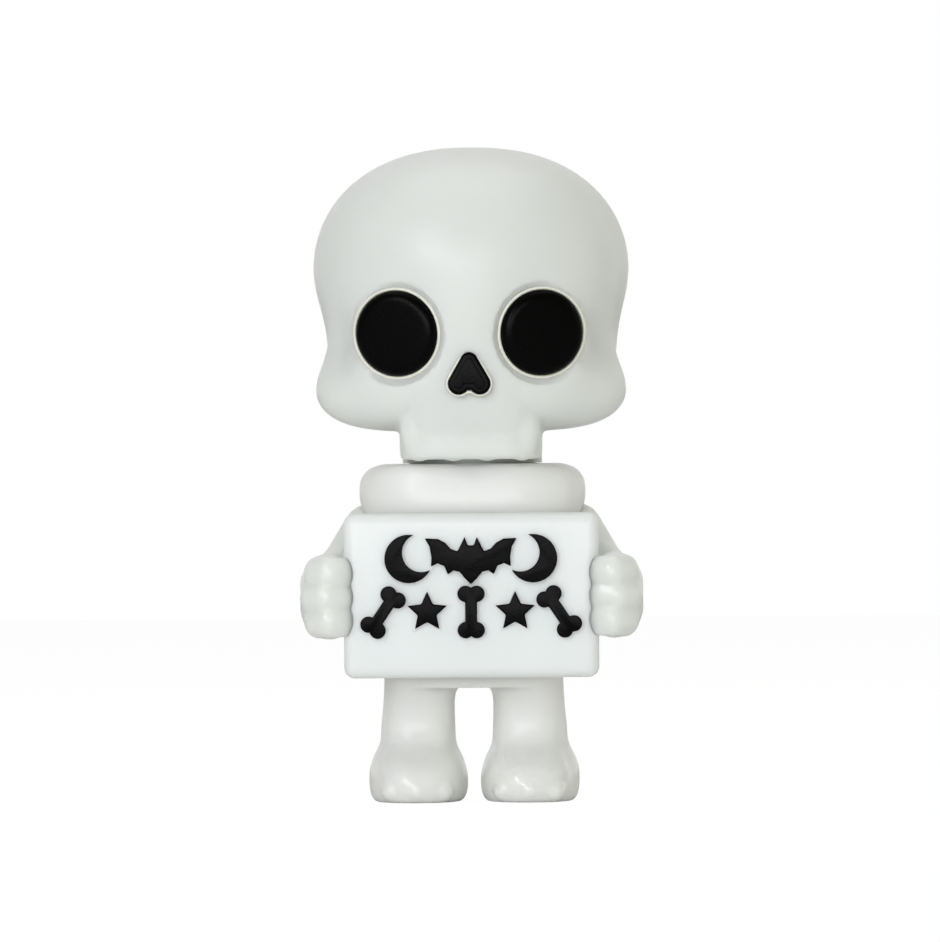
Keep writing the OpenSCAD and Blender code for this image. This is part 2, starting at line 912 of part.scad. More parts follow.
// Tray that holds the cells, open to the back
module battery_box() {
    color("#f0f0ec")
        difference() {
            translate([-box_l / 2, box_front_y, box_base_z])
                cube([box_l, box_rear_y - box_front_y, box_h]);
            translate([-box_in_l / 2, box_front_y + box_wall, cell_z - box_in_h / 2])
                cube([box_in_l, 30, box_in_h]);
            // Notches that the contacts' tails pass through
            for (s = [-1, 1])
                translate([s * (box_in_l / 2 + box_wall / 2), wire_y, cell_z])
                    cube([box_wall + 1, 2.4, 1.4], center = true);
        }
}

// Three button cells, each a can with a smaller cap
module button_cells() {
    color("#c4c8cc")
        for (i = [0 : cell_count - 1])
            translate([stack_x + i * cell_t, cell_y, cell_z])
                rotate([0, 90, 0]) {
                    translate([0, 0, 0.5])
                        cylinder(h = cell_t - 0.5, d = cell_d, $fn = fine);
                    cylinder(h = 1, d = cell_d - 2.6, $fn = fine);
                }
}

// Coil of the negative contact, pressed between its plate and the first cell
module contact_spring() {
    turns = 3;
    steps = 14;
    wire = 0.6;
    x0 = -box_in_l / 2 + plate_t + wire / 2;
    x1 = stack_x - wire / 2;
    color("#c8ccd0")
        tube_along([
            for (k = [0 : turns * steps])
                let (t = k / (turns * steps), a = 360 * k / steps, r = 4.2 - 1.6 * t)
                [x0 + (x1 - x0) * t, cell_y + r * cos(a), cell_z + r * sin(a)]
        ], wire, 8);
}

// Contact plates at the two ends of the box, each with a tail that leaves through the wall
module contact_plates() {
    color("#c8ccd0")
        for (s = [-1, 1]) {
            translate([s * (box_in_l / 2 - plate_t / 2), cell_y, cell_z])
                cube([plate_t, 9.6, 9.6], center = true);
            translate([s * (box_l / 2 - (box_wall + plate_t) / 2), wire_y, cell_z])
                cube([box_wall + plate_t, 1.6, 0.8], center = true);
        }
}

// Light board on top of the battery box
module led_board() {
    color("#2f7d4f")
        translate([-pcb[0] / 2, -pcb[1] / 2 + 1, pcb_z])
            cube(pcb);
}

// Lamp with its rim and dome, pointing up through the neck
module led_lamp() {
    color("#f4f6f8")
        translate([0, 0, pcb_z + pcb[2]])
            rotate_extrude($fn = fine)
                polygon(concat(
                    [[0, 0], [lamp_rim_d / 2, 0], [lamp_rim_d / 2, 1], [lamp_d / 2, 1]],
                    [
                        for (a = [0 : 15 : 75])
                            [lamp_d / 2 * cos(a), lamp_h - lamp_d / 2 + lamp_d / 2 * sin(a)]
                    ],
                    [[0, lamp_h]]
                ));
}

// Resistor beside the lamp
module led_resistor() {
    color("#c9a66b")
        translate([-6.6, -2.5, pcb_z + pcb[2] + 0.8])
            rotate([-90, 0, 0]) {
                cylinder(h = 5, d = 1.6, $fn = 32);
                for (z = [0, 4.2])
                    translate([0, 0, z])
                        cylinder(h = 0.8, d = 1.6 + 2 * touch, $fn = 32);
            }
}

// An insulated wire: straight stretches with a ball at each bend
module wire(path) {
    for (i = [0 : len(path) - 2]) {
        run = path[i + 1] - path[i];
        translate(path[i])
            rotate([0, acos(run[2] / norm(run)), atan2(run[1], run[0])])
                cylinder(h = norm(run), d = wire_d, $fn = 24);
        if (i > 0)
            translate(path[i])
                sphere(d = wire_d, $fn = 24);
    }
}

module wire_positive() {
    color("#c03028")
        wire([
            [wire_x, wire_y, cell_z],
            [wire_x, wire_y, pcb_z + pcb[2] + 0.5],
            [pcb[0] / 2 - 2, wire_y, pcb_z + pcb[2] + 0.5]
        ]);
}

module wire_negative() {
    color("#202224")
        wire([
            [-wire_x, wire_y, cell_z],
            [-wire_x, wire_y, box_base_z - 3],
            [-3, wire_y, box_base_z - 3],
            [-3, wire_y, switch_z],
            [-3, switch_front_y, switch_z]
        ]);
}

module wire_switch() {
    color("#202224")
        wire([
            [3, switch_front_y, switch_z],
            [3, -7.2, switch_z],
            [3, -7.2, pcb_z + pcb[2] + 0.5],
            [3, -2.5, pcb_z + pcb[2] + 0.5]
        ]);
}

// Switch body with a pocket for the knob's foot, against the pad in the back shell
module switch_body() {
    color("#303336")
        difference() {
            translate([-switch_size[0] / 2, switch_front_y, switch_z - switch_size[2] / 2])
                cube(switch_size);
            translate([
                -switch_size[0] / 2 + switch_wall,
                switch_front_y + switch_wall,
                switch_z - switch_size[2] / 2 + switch_wall
            ])
                cube([switch_size[0] - 2 * switch_wall, switch_size[1], switch_size[2] - 2 * switch_wall]);
        }
}

// Knob of the switch at its off end: a foot in the body and a ribbed tab through the slot
module switch_knob() {
    foot_w = switch_size[0] - 2 * switch_wall - switch_travel - 2 * knob_room;
    foot_h = switch_size[2] - 2 * switch_wall - 2 * knob_room;
    tab_y = switch_seat_y - 1;
    color("#202224")
        translate([-switch_travel / 2, 0, switch_z]) {
            translate([-foot_w / 2, switch_front_y + switch_wall + knob_room, -foot_h / 2])
                cube([foot_w, switch_size[1] - switch_wall - 2 * knob_room, foot_h]);
            difference() {
                translate([-knob_w / 2, tab_y, -knob_h / 2])
                    cube([knob_w, hip_y + knob_out - tab_y, knob_h]);
                for (x = [-0.45, 0.45])
                    translate([x - 0.15, hip_y + knob_out - 0.3, -2])
                        cube([0.3, 1, 4]);
            }
        }
}

// Battery door: the piece of the torso's skin that fills the recess, with a seat for its screw
module battery_door() {
    color("#e6eae6")
        as_one_mesh()
            difference() {
                union() {
                    intersection() {
                        door_prism(-door_gap);
                        difference() {
                            torso_skin(0);
                            torso_skin(-wall + door_rest);
                        }
                    }
                    intersection() {
                        for (s = [-1, 1])
                            translate([s * 5 - 0.6, cell_y + cell_d / 2 + 0.35, cell_z - 3.4])
                                cube([1.2, 8, 6.8]);
                        torso_skin(-0.4 * wall);
                    }
                }
                translate([0, 0, screw_z])
                    rotate([-90, 0, 0]) {
                        cylinder(h = 30, d = door_screw_d + 2 * hole_clearance, $fn = 24);
                        translate([0, 0, hip_y - 0.9])
                            cylinder(h = 20, d = door_screw_head_d + 0.3, $fn = 32);
                    }
            }
}

// Screw held in the battery door
module door_screw() {
    color("#b8bcc0")
        translate([0, hip_y - 0.9, screw_z])
            rotate([-90, 0, 0])
                difference() {
                    union() {
                        cylinder(h = door_screw_head_h, d = door_screw_head_d, $fn = 32);
                        translate([0, 0, -door_screw_l])
                            cylinder(h = door_screw_l + touch, d = door_screw_d, $fn = 32);
                    }
                    cross_slot(door_screw_head_h, door_screw_head_d);
                }
}

module eye_left() {
    eye_button(1);
}

module eye_right() {
    eye_button(-1);
}

skull_face();
skull_back();
eye_left();
eye_right();
nose_button();
neck_shaft();
neck_bearing();
body_front();
body_back();
arm_left();
arm_right();
sign_board();
sign_motif_upper();
sign_motif_lower();
body_screws();
battery_box();
button_cells();
contact_spring();
contact_plates();
led_board();
led_lamp();
led_resistor();
wire_positive();
wire_negative();
wire_switch();
switch_body();
switch_knob();
battery_door();
door_screw();
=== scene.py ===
# %% [markdown]
# # A skeleton night light in milk-white vinyl
# The figure is a battery lamp: a hollow skull and body, moulded in translucent vinyl, with a
# lamp under the neck that shines up into the head. Every piece is made here in the place that
# the engineering model gives it, so the model is loaded first. Nothing that is made later may
# stand outside it by more than a hair.

# %% Load the engineering model
from math import acos, asin, atan2, cos, degrees, exp, pi, radians, sin

import bmesh
import bpy
from mathutils import Matrix, Vector


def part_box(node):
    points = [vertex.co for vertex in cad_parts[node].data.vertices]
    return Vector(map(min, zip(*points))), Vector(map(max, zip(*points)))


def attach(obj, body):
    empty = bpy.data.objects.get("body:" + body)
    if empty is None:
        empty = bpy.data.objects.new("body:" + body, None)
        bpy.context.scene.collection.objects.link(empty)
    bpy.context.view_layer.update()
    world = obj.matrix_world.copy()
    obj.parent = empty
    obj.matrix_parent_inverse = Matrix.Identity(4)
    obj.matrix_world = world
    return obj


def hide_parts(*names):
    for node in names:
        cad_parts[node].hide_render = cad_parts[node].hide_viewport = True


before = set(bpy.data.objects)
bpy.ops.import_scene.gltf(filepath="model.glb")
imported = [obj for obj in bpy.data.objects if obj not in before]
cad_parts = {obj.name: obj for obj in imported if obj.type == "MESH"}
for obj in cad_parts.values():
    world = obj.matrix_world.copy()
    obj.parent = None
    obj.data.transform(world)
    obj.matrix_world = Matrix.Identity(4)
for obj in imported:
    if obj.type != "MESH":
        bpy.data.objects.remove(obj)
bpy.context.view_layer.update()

# %% [markdown]
# ## The camera
# A product picture of a small figure is taken from far off with a long lens, so that the near
# board and the far side of the head keep their true sizes. The camera stands level with the
# middle of the figure, a hair to one side, and leans by a fraction of a degree. Blender could
# also use an orthographic camera, but then the board wouldn't stand forward of the legs at all.
# The focal length follows from the width that has to be in view where the face is.

# %% Set up the camera
MM = 0.001
CAMERA_FAR = 1.6
FACE_FORWARD = 8 * MM
CAMERA_YAW = radians(1.1)
CAMERA_ROLL = radians(-0.4)
VIEW_WIDTH = 0.1725
VIEW_CENTRE = Vector((-0.00044, 0.0, 0.0606))

lens = bpy.data.cameras.new("long_lens")
lens.sensor_width = 36.0
lens.lens = lens.sensor_width * (CAMERA_FAR - FACE_FORWARD) / VIEW_WIDTH
lens.clip_start = 0.05
lens.clip_end = 30.0
camera = bpy.data.objects.new("camera", lens)
bpy.context.scene.collection.objects.link(camera)
camera.location = VIEW_CENTRE + CAMERA_FAR * Vector((sin(CAMERA_YAW), -cos(CAMERA_YAW), 0.0))
turned = Matrix.Rotation(CAMERA_YAW, 4, "Z") @ Matrix.Rotation(radians(90), 4, "X")
camera.rotation_euler = (turned @ Matrix.Rotation(CAMERA_ROLL, 4, "Z")).to_euler()
bpy.context.scene.camera = camera
print("lens", round(lens.lens, 1), "mm")

# %% [markdown]
# ## A bench in millimetres
# The pieces are small, so they are modelled at one unit to the millimetre and shrunk to metres
# when they are finished. The few helpers below do what a hand does between two operators: put
# everything else down, pick one object up, or press Apply on a modifier.

# %% Helpers for the bench
def put_down():
    if bpy.context.mode != "OBJECT":
        bpy.ops.object.mode_set(mode="OBJECT")
    bpy.ops.object.select_all(action="DESELECT")


def pick_up(*objects):
    put_down()
    for o in objects:
        o.select_set(True)
    bpy.context.view_layer.objects.active = objects[0]
    return objects[0]


def press(obj, kind, **settings):
    """Adds a modifier, sets it and applies it."""
    pick_up(obj)
    modifier = obj.modifiers.new(kind.lower(), kind)
    for name, value in settings.items():
        setattr(modifier, name, value)
    bpy.ops.object.modifier_apply(modifier=modifier.name)
    return obj


def copy_of(obj, name):
    twin = obj.copy()
    twin.data = obj.data.copy()
    twin.name = name
    bpy.context.scene.collection.objects.link(twin)
    return twin


def bin_it(*objects):
    for o in objects:
        bpy.data.objects.remove(o, do_unlink=True)


# %% [markdown]
# ## Cutting and kneading
# Moulded shapes are mostly sums and differences of simpler ones. `cut` is Blender's Boolean
# modifier: one closed shape bites into another, or joins it. `knead` is for clay-like forms:
# joined shapes get one new skin of small cubes (Voxel Remesh) and a few rounds of Smooth, which
# turn every crease into a soft fillet. Bevelling those creases by hand would be endless work.

# %% Cut and knead
def cut(obj, tool, how="DIFFERENCE", keep_tool=False):
    """Cuts a closed shape with another closed shape, or joins them with how='UNION'."""
    press(obj, "BOOLEAN", operation=how, object=tool, solver="MANIFOLD")
    if not keep_tool:
        bin_it(tool)
    return obj


def knead(objects, voxel, passes):
    """Joins closed shapes into one skin and softens the creases between them, like clay."""
    obj = pick_up(*objects)
    if len(objects) > 1:
        bpy.ops.object.join()
    press(obj, "REMESH", mode="VOXEL", voxel_size=voxel, adaptivity=0.0)
    press(obj, "SMOOTH", factor=0.5, iterations=passes)
    return obj


print("tools:", [tool.__name__ for tool in (cut, knead)])

# %% [markdown]
# ## Sizes from the engineering model
# Places and sizes below are in millimetres, in the same frame as the engineering model. Its
# boxes are printed here, so that each new piece can be checked against the one it stands for.

# %% Print the boxes of the pieces that are made anew
def box_mm(node):
    low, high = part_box(node)
    return Vector(low) / MM, Vector(high) / MM


for node in ("skull_face", "skull_back", "body_front", "body_back", "sign_board", "battery_door"):
    low, high = box_mm(node)
    print(node, [round(v, 2) for v in low], [round(v, 2) for v in high])

# %% [markdown]
# ## Primitives on the bench
# Each shape below starts as a primitive from the Add menu, at its size and place. A round bar
# is a cylinder, a block is a cube, a drop of clay is a sphere. A cylinder is added upright and
# then turned to lie from one point to another. The objects stay at the origin: place and turn
# go into the mesh, so that textures don't slide when a piece is moved.

# %% Blocks, bars and drops
def block(low, high):
    put_down()
    low, high = Vector(low), Vector(high)
    bpy.ops.mesh.primitive_cube_add(size=1.0, location=(low + high) / 2)
    obj = bpy.context.active_object
    obj.scale = high - low
    bpy.ops.object.transform_apply(location=True, rotation=True, scale=True)
    return obj


def bar(start, end, radius, sides=48):
    put_down()
    start, end = Vector(start), Vector(end)
    run = end - start
    bpy.ops.mesh.primitive_cylinder_add(vertices=sides, radius=radius, depth=run.length)
    obj = bpy.context.active_object
    aim = run.to_track_quat("Z", "Y").to_matrix().to_4x4()
    obj.data.transform(Matrix.Translation((start + end) / 2) @ aim)
    return obj


def drop(centre, size, segments=32, rings=20):
    """An egg of clay: a sphere scaled to three radii."""
    put_down()
    bpy.ops.mesh.primitive_uv_sphere_add(segments=segments, ring_count=rings, radius=1.0)
    obj = bpy.context.active_object
    obj.data.transform(Matrix.Translation(centre) @ Matrix.Diagonal((*size, 1.0)))
    return obj


print("shapes:", [shape.__name__ for shape in (block, bar, drop)])

# %% [markdown]
# ## Sausages of clay
# A limb or a finger is a row of drops laid so close together that they read as one sausage. A
# bevelled curve could do it too, but a curve has one round section, and these change from tall
# to flat on the way.

# %% Lay drops along a path
DROP_SPACING = 0.6


def sausage(path, sizes):
    """Drops laid close together along a path, as one mesh."""
    drops = []
    for (a, size_a), (b, size_b) in zip(zip(path, sizes), zip(path[1:], sizes[1:])):
        a, b = Vector(a), Vector(b)
        steps = max(2, round((b - a).length / DROP_SPACING))
        for k in range(steps):
            t = k / steps
            size = [u + (v - u) * t for u, v in zip(size_a, size_b)]
            drops.append(drop(a.lerp(b, t), size, 20, 12))
    drops.append(drop(Vector(path[-1]), sizes[-1], 20, 12))
    obj = pick_up(*drops)
    bpy.ops.object.join()
    return obj


print("a drop every", DROP_SPACING, "mm")

# %% [markdown]
# ## Pulling up rings
# A body with an outline that swells and narrows is drawn as a stack of rings. The lowest ring
# is a filled circle; it is extruded once for each level and the new ring is set to its width
# and depth. Squared ovals come from raising the circle's sine and cosine to a power below one.

# %% Pull a stack of rings
def signed_power(value, power):
    return (abs(value) ** power) * (1.0 if value >= 0 else -1.0)


def pull_rings(rings, power, sides, ripple=None):
    """rings: (height, middle x, half width, front reach, back reach), from low to high."""
    put_down()
    bpy.ops.mesh.primitive_circle_add(vertices=sides, radius=1.0, fill_type="NGON")
    obj = bpy.context.active_object
    bpy.ops.object.mode_set(mode="EDIT")
    bm = bmesh.from_edit_mesh(obj.data)
    turn = bm.verts.layers.float.new("turn")
    for v in bm.verts:
        v[turn] = atan2(v.co.y, v.co.x)
    for level, (z, middle, half, front, back) in enumerate(rings):
        if level:
            bpy.ops.mesh.extrude_region_move()
            bm = bmesh.from_edit_mesh(obj.data)
            turn = bm.verts.layers.float["turn"]
        for v in bm.verts:
            if not v.select:
                continue
            a = v[turn]
            x = half * signed_power(cos(a), power)
            reach = front if sin(a) < 0 else back
            y = reach * signed_power(sin(a), power)
            if ripple and sin(a) < 0:
                y -= ripple(x, z) * abs(sin(a))
            v.co = (middle + x, y, z)
        bmesh.update_edit_mesh(obj.data)
    bpy.ops.mesh.select_all(action="SELECT")
    bpy.ops.mesh.normals_make_consistent(inside=False)
    bpy.ops.object.mode_set(mode="OBJECT")
    return obj


def smooth_rows(rows, count):
    """Rows on a smooth curve through the given rows, close together."""
    out = []
    last = len(rows) - 1
    for k in range(count + 1):
        t = k / count * last
        i = min(int(t), last - 1)
        u = t - i
        picks = (rows[max(i - 1, 0)], rows[i], rows[i + 1], rows[min(i + 2, last)])
        out.append([
            b + 0.5 * u * (c - a + u * (2 * a - 5 * b + 4 * c - d + u * (3 * (b - c) + d - a)))
            for a, b, c, d in zip(*picks)
        ])
    return out


print("halfway between 0 and 1:", smooth_rows([(0.0,), (1.0,)], 2)[1])

# %% [markdown]
# ## Finishing a piece
# A finished piece is shrunk to metres, shaded smooth except over sharp edges, painted, and
# hung on the empty of the body that it moves with; the engineering parts it stands for are hidden.

# %% Finish a piece
made = {}


def finish(obj, name, body, material, stands_for=(), sharp=35.0):
    put_down()
    obj.name = obj.data.name = name
    obj.data.transform(Matrix.Scale(MM, 4))
    pick_up(obj)
    bpy.ops.object.shade_smooth_by_angle(angle=radians(sharp))
    obj.data.materials.clear()
    obj.data.materials.append(material)
    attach(obj, body)
    if stands_for:
        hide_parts(*stands_for)
    made[name] = obj
    print(name, len(obj.data.polygons), "faces")
    return obj


print("finished so far:", len(made))

# %% [markdown]
# ## Colour and nodes
# Colours are written as sRGB hex, as a paint chart gives them, and turned to linear here. One
# small function adds a shader node with its settings and its links.

# %% Colour and node helpers
def linear(hex_colour):
    channels = [int(hex_colour[i:i + 2], 16) / 255 for i in (1, 3, 5)]
    light = [c / 12.92 if c <= 0.04045 else ((c + 0.055) / 1.055) ** 2.4 for c in channels]
    return (*light, 1.0)


def add_node(tree, kind, settings=None, **inputs):
    """inputs: a socket's name with _ for each space, or n and its number, and what goes in."""
    node = tree.nodes.new(kind)
    for name, value in (settings or {}).items():
        setattr(node, name, value)
    for name, value in inputs.items():
        key = int(name[1:]) if name[0] == "n" and name[1:].isdigit() else name.replace("_", " ")
        if isinstance(value, bpy.types.NodeSocket):
            tree.links.new(value, node.inputs[key])
        else:
            node.inputs[key].default_value = value
    return node


def new_material(name, **sockets):
    material = bpy.data.materials.new(name)
    material.use_nodes = True
    tree = material.node_tree
    shader = tree.nodes["Principled BSDF"]
    for key, value in sockets.items():
        shader.inputs[key.replace("_", " ")].default_value = value
    where = add_node(tree, "ShaderNodeTexCoord").outputs["Object"]
    return material, tree, shader, where


print("mid grey in linear light", round(linear("#808080")[0], 3))

# %% [markdown]
# ## Milky soft vinyl
# The skin is rotocast soft vinyl with a little white in it: light goes a few millimetres in
# and comes out greener and softer, so the colour comes from subsurface scattering and not
# from paint. The mould leaves a satin orange peel about a millimetre across, and the resin
# is never quite even, so two close tints drift over about 15 mm. Feet, hands and board come
# from polished moulds: a thin clear lustre lies over their satin, so that toes, finger tips
# and corners catch small sharp lights. On the body it fades out above the feet. A plain white
# paint would look like plaster: without the light inside, the shadows turn hard and grey.

# %% Make the vinyls
DRIFT_SIZE = 15 * MM
PEEL_SIZE = 1.1 * MM
POLISH_FADE = 4
SATIN_LUSTRE = 0.08


def milky_vinyl(name, pale, deep, roughness, depth=1.3, polish=0.0, satin_above=None):
    """depth and satin_above are in millimetres."""
    material, tree, shader, where = new_material(
        name, Roughness=roughness, IOR=1.5, Specular_IOR_Level=0.4, Subsurface_Weight=0.75,
        Subsurface_Radius=(1.0, 1.0, 0.94), Subsurface_Scale=2.6 * depth * MM,
        Subsurface_Anisotropy=0.4, Coat_Weight=polish, Coat_Roughness=0.06,
    )
    if satin_above:
        height = add_node(tree, "ShaderNodeSeparateXYZ", Vector=where).outputs["Z"]
        fade = add_node(
            tree, "ShaderNodeMapRange", Value=height, To_Min=polish, To_Max=SATIN_LUSTRE,
            From_Min=satin_above * MM, From_Max=(satin_above + POLISH_FADE) * MM,
        )
        tree.links.new(fade.outputs["Result"], shader.inputs["Coat Weight"])
    drift = add_node(
        tree, "ShaderNodeTexNoise", Vector=where, Scale=1 / DRIFT_SIZE, Detail=2.0, Roughness=0.45,
    )
    tint = add_node(
        tree, "ShaderNodeMix", {"data_type": "RGBA"}, Factor=drift.outputs["Fac"],
        n6=linear(pale), n7=linear(deep),
    )
    tree.links.new(tint.outputs[2], shader.inputs["Base Color"])
    peel = add_node(
        tree, "ShaderNodeTexNoise", Vector=where, Scale=1 / PEEL_SIZE, Detail=3.0, Roughness=0.5,
    )
    bump = add_node(
        tree, "ShaderNodeBump", Strength=0.14, Distance=0.12 * MM, Height=peel.outputs["Fac"],
    )
    tree.links.new(bump.outputs["Normal"], shader.inputs["Normal"])
    return material


skin_vinyl = milky_vinyl("milky_soft_vinyl", "#E6E8E7", "#E1E5E2", 0.36)
# Painted light: the body's tints are paler than the skull's and the hands' for the same vinyl, lifting the
# collar, legs and feet that the board and lamps leave in shade.
body_paint_paler = milky_vinyl("soft_vinyl_body_painted_paler", "#F4F5F1", "#EFF1EB", 0.34, polish=0.4, satin_above=7)
mitt_vinyl = milky_vinyl("polished_soft_vinyl", "#E8EAE8", "#E3E6E3", 0.34, polish=0.3)
board_vinyl = milky_vinyl("board_soft_vinyl", "#EAEDEE", "#E7EAEB", 0.36, polish=0.12)
print("vinyls", [m.name for m in (skin_vinyl, body_paint_paler, mitt_vinyl, board_vinyl)])

# %% [markdown]
# ## Black lacquer
# Eyes, nose and emblems are gloss black lacquer sprayed over vinyl. Lacquer this thick keeps
# a fine grain, about a third of a millimetre, that breaks the highlight on the bevels. Its
# gloss is set low, since it faces a broad pale room and must still read as black, and clouds
# of 2.5 mm make the gloss a little uneven, as sprayed lacquer is.

# %% Make the lacquer
def black_lacquer(name, grain, depth):
    """grain and depth are in millimetres."""
    material, tree, shader, where = new_material(
        name, Base_Color=linear("#020202"), Roughness=0.28, IOR=1.5, Specular_IOR_Level=0.06,
    )
    speck = add_node(
        tree, "ShaderNodeTexNoise", Vector=where, Scale=1 / (grain * MM), Detail=4.0, Roughness=0.6,
    )
    bump = add_node(
        tree, "ShaderNodeBump", Strength=0.7, Distance=depth * MM, Height=speck.outputs["Fac"],
    )
    tree.links.new(bump.outputs["Normal"], shader.inputs["Normal"])
    cloud = add_node(tree, "ShaderNodeTexNoise", Vector=where, Scale=1 / (2.5 * MM), Detail=2.0)
    rough = add_node(tree, "ShaderNodeMapRange", Value=cloud.outputs["Fac"], To_Min=0.2, To_Max=0.34)
    tree.links.new(rough.outputs["Result"], shader.inputs["Roughness"])
    return material


lacquer = black_lacquer("black_gloss_lacquer", 0.35, 0.05)
print("lacquer", lacquer.name)

# %% [markdown]
# ## The skull
# The cranium is an egg that is rounder above its widest level and squarer below it, where the
# cheeks hang. It could be sculpted, but then nothing would hold the two sides alike. So it
# starts as a sphere; each point is moved out along its own direction to the squared egg, and
# then soft pushes swell the cheeks and hollow the temples and sockets. A push is a place, how
# far it reaches, and how far and which way the skin goes there.

# %% Sizes of the skull
CROWN_Z = 120.0
SKULL_Z = 68.0
WIDEST_Z = 95.6
SKULL_HALF = 29.0
SKULL_DEEP = 26.0
EYE_X = 13.0
EYE_Z = 85.7
NOSE_Z = 78.3

PUSHES = [((0.0, -24.4, 71.0), 11.0, (0.0, 2.0, 0.0))]
for side in (-1, 1):
    PUSHES += [
        ((side * 26.7, -9.4, 75.0), 9.0, (side * 2.4, -0.6, -0.2)),
        ((side * 27.3, -15.6, 83.4), 6.5, (side * -3.3, 1.4, 0.0)),
        ((side * 27.3, -1.3, 83.8), 8.0, (side * -3.5, 0.0, 0.0)),
        ((side * EYE_X, -24.0, EYE_Z), 9.0, (0.0, 0.9, 0.0)),
    ]
print("pushes", len(PUSHES))

# %% [markdown]
# The outline in section is a superellipse: a power of 2 is a true ellipse, and higher powers
# are squarer. The power rises towards the front below the widest level, which makes the cheeks
# full. `grow` draws the same form larger or smaller, and the smaller one hollows the skull.

# %% Shape the skull's skin
def skull_point(direction, grow):
    around = atan2(direction.y, direction.x)
    up = asin(max(-1.0, min(1.0, direction.z)))
    front = max(0.0, min(1.0, 0.6 - 0.8 * sin(around)))
    fullness = 2.28 if up > 0 else 2.5 + 3.5 * front
    out = (cos(up) ** fullness + abs(sin(up)) ** fullness) ** (-1 / fullness)
    height = (CROWN_Z - WIDEST_Z if up > 0 else WIDEST_Z - SKULL_Z) + min(grow, 0.12)
    level = out * cos(up)
    point = Vector((
        (SKULL_HALF + grow) * level * cos(around),
        (SKULL_DEEP + grow) * level * sin(around),
        WIDEST_Z + height * out * sin(up),
    ))
    shift = Vector((0.0, 0.0, 0.0))
    for centre, reach, push in PUSHES:
        shift += Vector(push) * exp(-((point - Vector(centre)).length / reach) ** 2)
    return point + shift


def skull_egg(grow, segments, rings):
    put_down()
    bpy.ops.mesh.primitive_uv_sphere_add(segments=segments, ring_count=rings, radius=1.0)
    obj = bpy.context.active_object
    for v in obj.data.vertices:
        v.co = skull_point(v.co.normalized(), grow)
    return obj


print("cheek point", [round(v, 1) for v in skull_point(Vector((0.8, -0.5, -0.6)).normalized(), 0.0)])

# %% [markdown]
# ## The upper teeth
# The upper teeth are one block under the nose: a squared oval with four pillows pressed into
# its front, whose lower ends make the wavy bite line. Separate teeth would part too sharply for
# vinyl that comes out of one mould. The block's back stops at the neck.

# %% Shape the teeth
TEETH_FRONT = -22.0
TEETH_HALF = 12.9
BITE_Z = 62.3


def teeth_block(grow):
    half_d = 12.0 + grow
    middle_y = TEETH_FRONT + 12.0
    floor = BITE_Z + 0.45 - min(grow, 0.0)
    rows = [
        (floor, -0.7), (floor + 0.5, -0.15), (floor + 1.4, 0.0), (67.5, 0.1), (70.0, 0.7), (76.0, 2.2),
    ]
    rings = [
        (z, 0.0, TEETH_HALF + grow + 0.5 * widen, half_d + widen - 0.3, half_d + widen)
        for z, widen in rows
    ]
    obj = pull_rings(rings, 0.52, 64)
    obj.data.transform(Matrix.Translation((0.0, middle_y, 0.0)))
    return obj


def tooth_pillows():
    pillows = []
    for k in range(4):
        x = (k - 1.5) * 6.25
        back = 0.9 * (abs(x) / 9.4) ** 3
        pillows.append(drop((x, TEETH_FRONT + 2.4 + back, 68.9), (3.5, 2.5, 6.65), 32, 24))
    return pillows


print("bite line at", BITE_Z, "mm")

# %% [markdown]
# ## Places on the face
# Each eye looks a little outward and down, so its seat, dish, lip and button all share one
# place with its own tilt. A tool for an eye is drawn upright at the origin and then put there,
# which keeps seat and button true to each other.

# %% Places on the face
EYE_YAW = radians(18)
EYE_PITCH = radians(-5)
EYE_Y = -0.385 * 52 - 0.8
NOSE_Y = -0.47 * 52


def eye_place(side):
    turn = Matrix.Rotation(side * EYE_YAW, 4, "Z") @ Matrix.Rotation(radians(90) - EYE_PITCH, 4, "X")
    return Matrix.Translation((side * EYE_X, EYE_Y, EYE_Z)) @ turn


def at_eye(side, z0, z1, radius, sides=96):
    obj = bar((0, 0, z0), (0, 0, z1), radius, sides)
    obj.data.transform(eye_place(side))
    return obj


print("left eye at", [round(v, 1) for v in eye_place(1).translation])

# %% [markdown]
# ## Knead the skull
# A shallow dish is pressed round each eye, and a round pad stands up in it to carry the lip
# that grips the button. Pads and teeth are kneaded into the skull as clay, so the creases
# between them come out soft. Only then are the hollow, the seats and the neck's socket cut,
# because their edges must stay crisp.

# %% Knead the skull
egg = skull_egg(0.2, 128, 96)
for side in (-1, 1):
    cut(egg, at_eye(side, 0.5, 9.0, 9.3))
clay = [egg, teeth_block(0.1), *tooth_pillows()]
for side in (-1, 1):
    clay.append(at_eye(side, -6.0, 0.25, 8.9))
skull = knead(clay, 0.42, 9)
hollow = knead([skull_egg(-2.0, 64, 48), teeth_block(-2.0)], 0.9, 3)
for side in (-1, 1):
    cut(hollow, at_eye(side, -5.0, 5.0, 9.4, 48))
cut(skull, hollow)
cut(skull, bar((0, 0, 60.0), (0, 0, 69.2), 12.9, 96))
cut(skull, bar((0, 0, 60.0), (0, 0, 80.0), 11.75, 96))
cut(skull, block((-60, -60, CROWN_Z), (60, 60, 140)))
for side in (-1, 1):
    cut(skull, at_eye(side, -1.4, 8.0, 8.0))
print("skull", len(skull.data.polygons), "faces")

# %% [markdown]
# ## Nose outline
# The nose is a rounded triangle standing on two lobes. A small arc over the top runs straight
# into a larger arc round each lobe, and the lobes meet in a notch. The outline is worked out
# once, from the line that touches both arcs, and serves the plug, its lip and its seat.

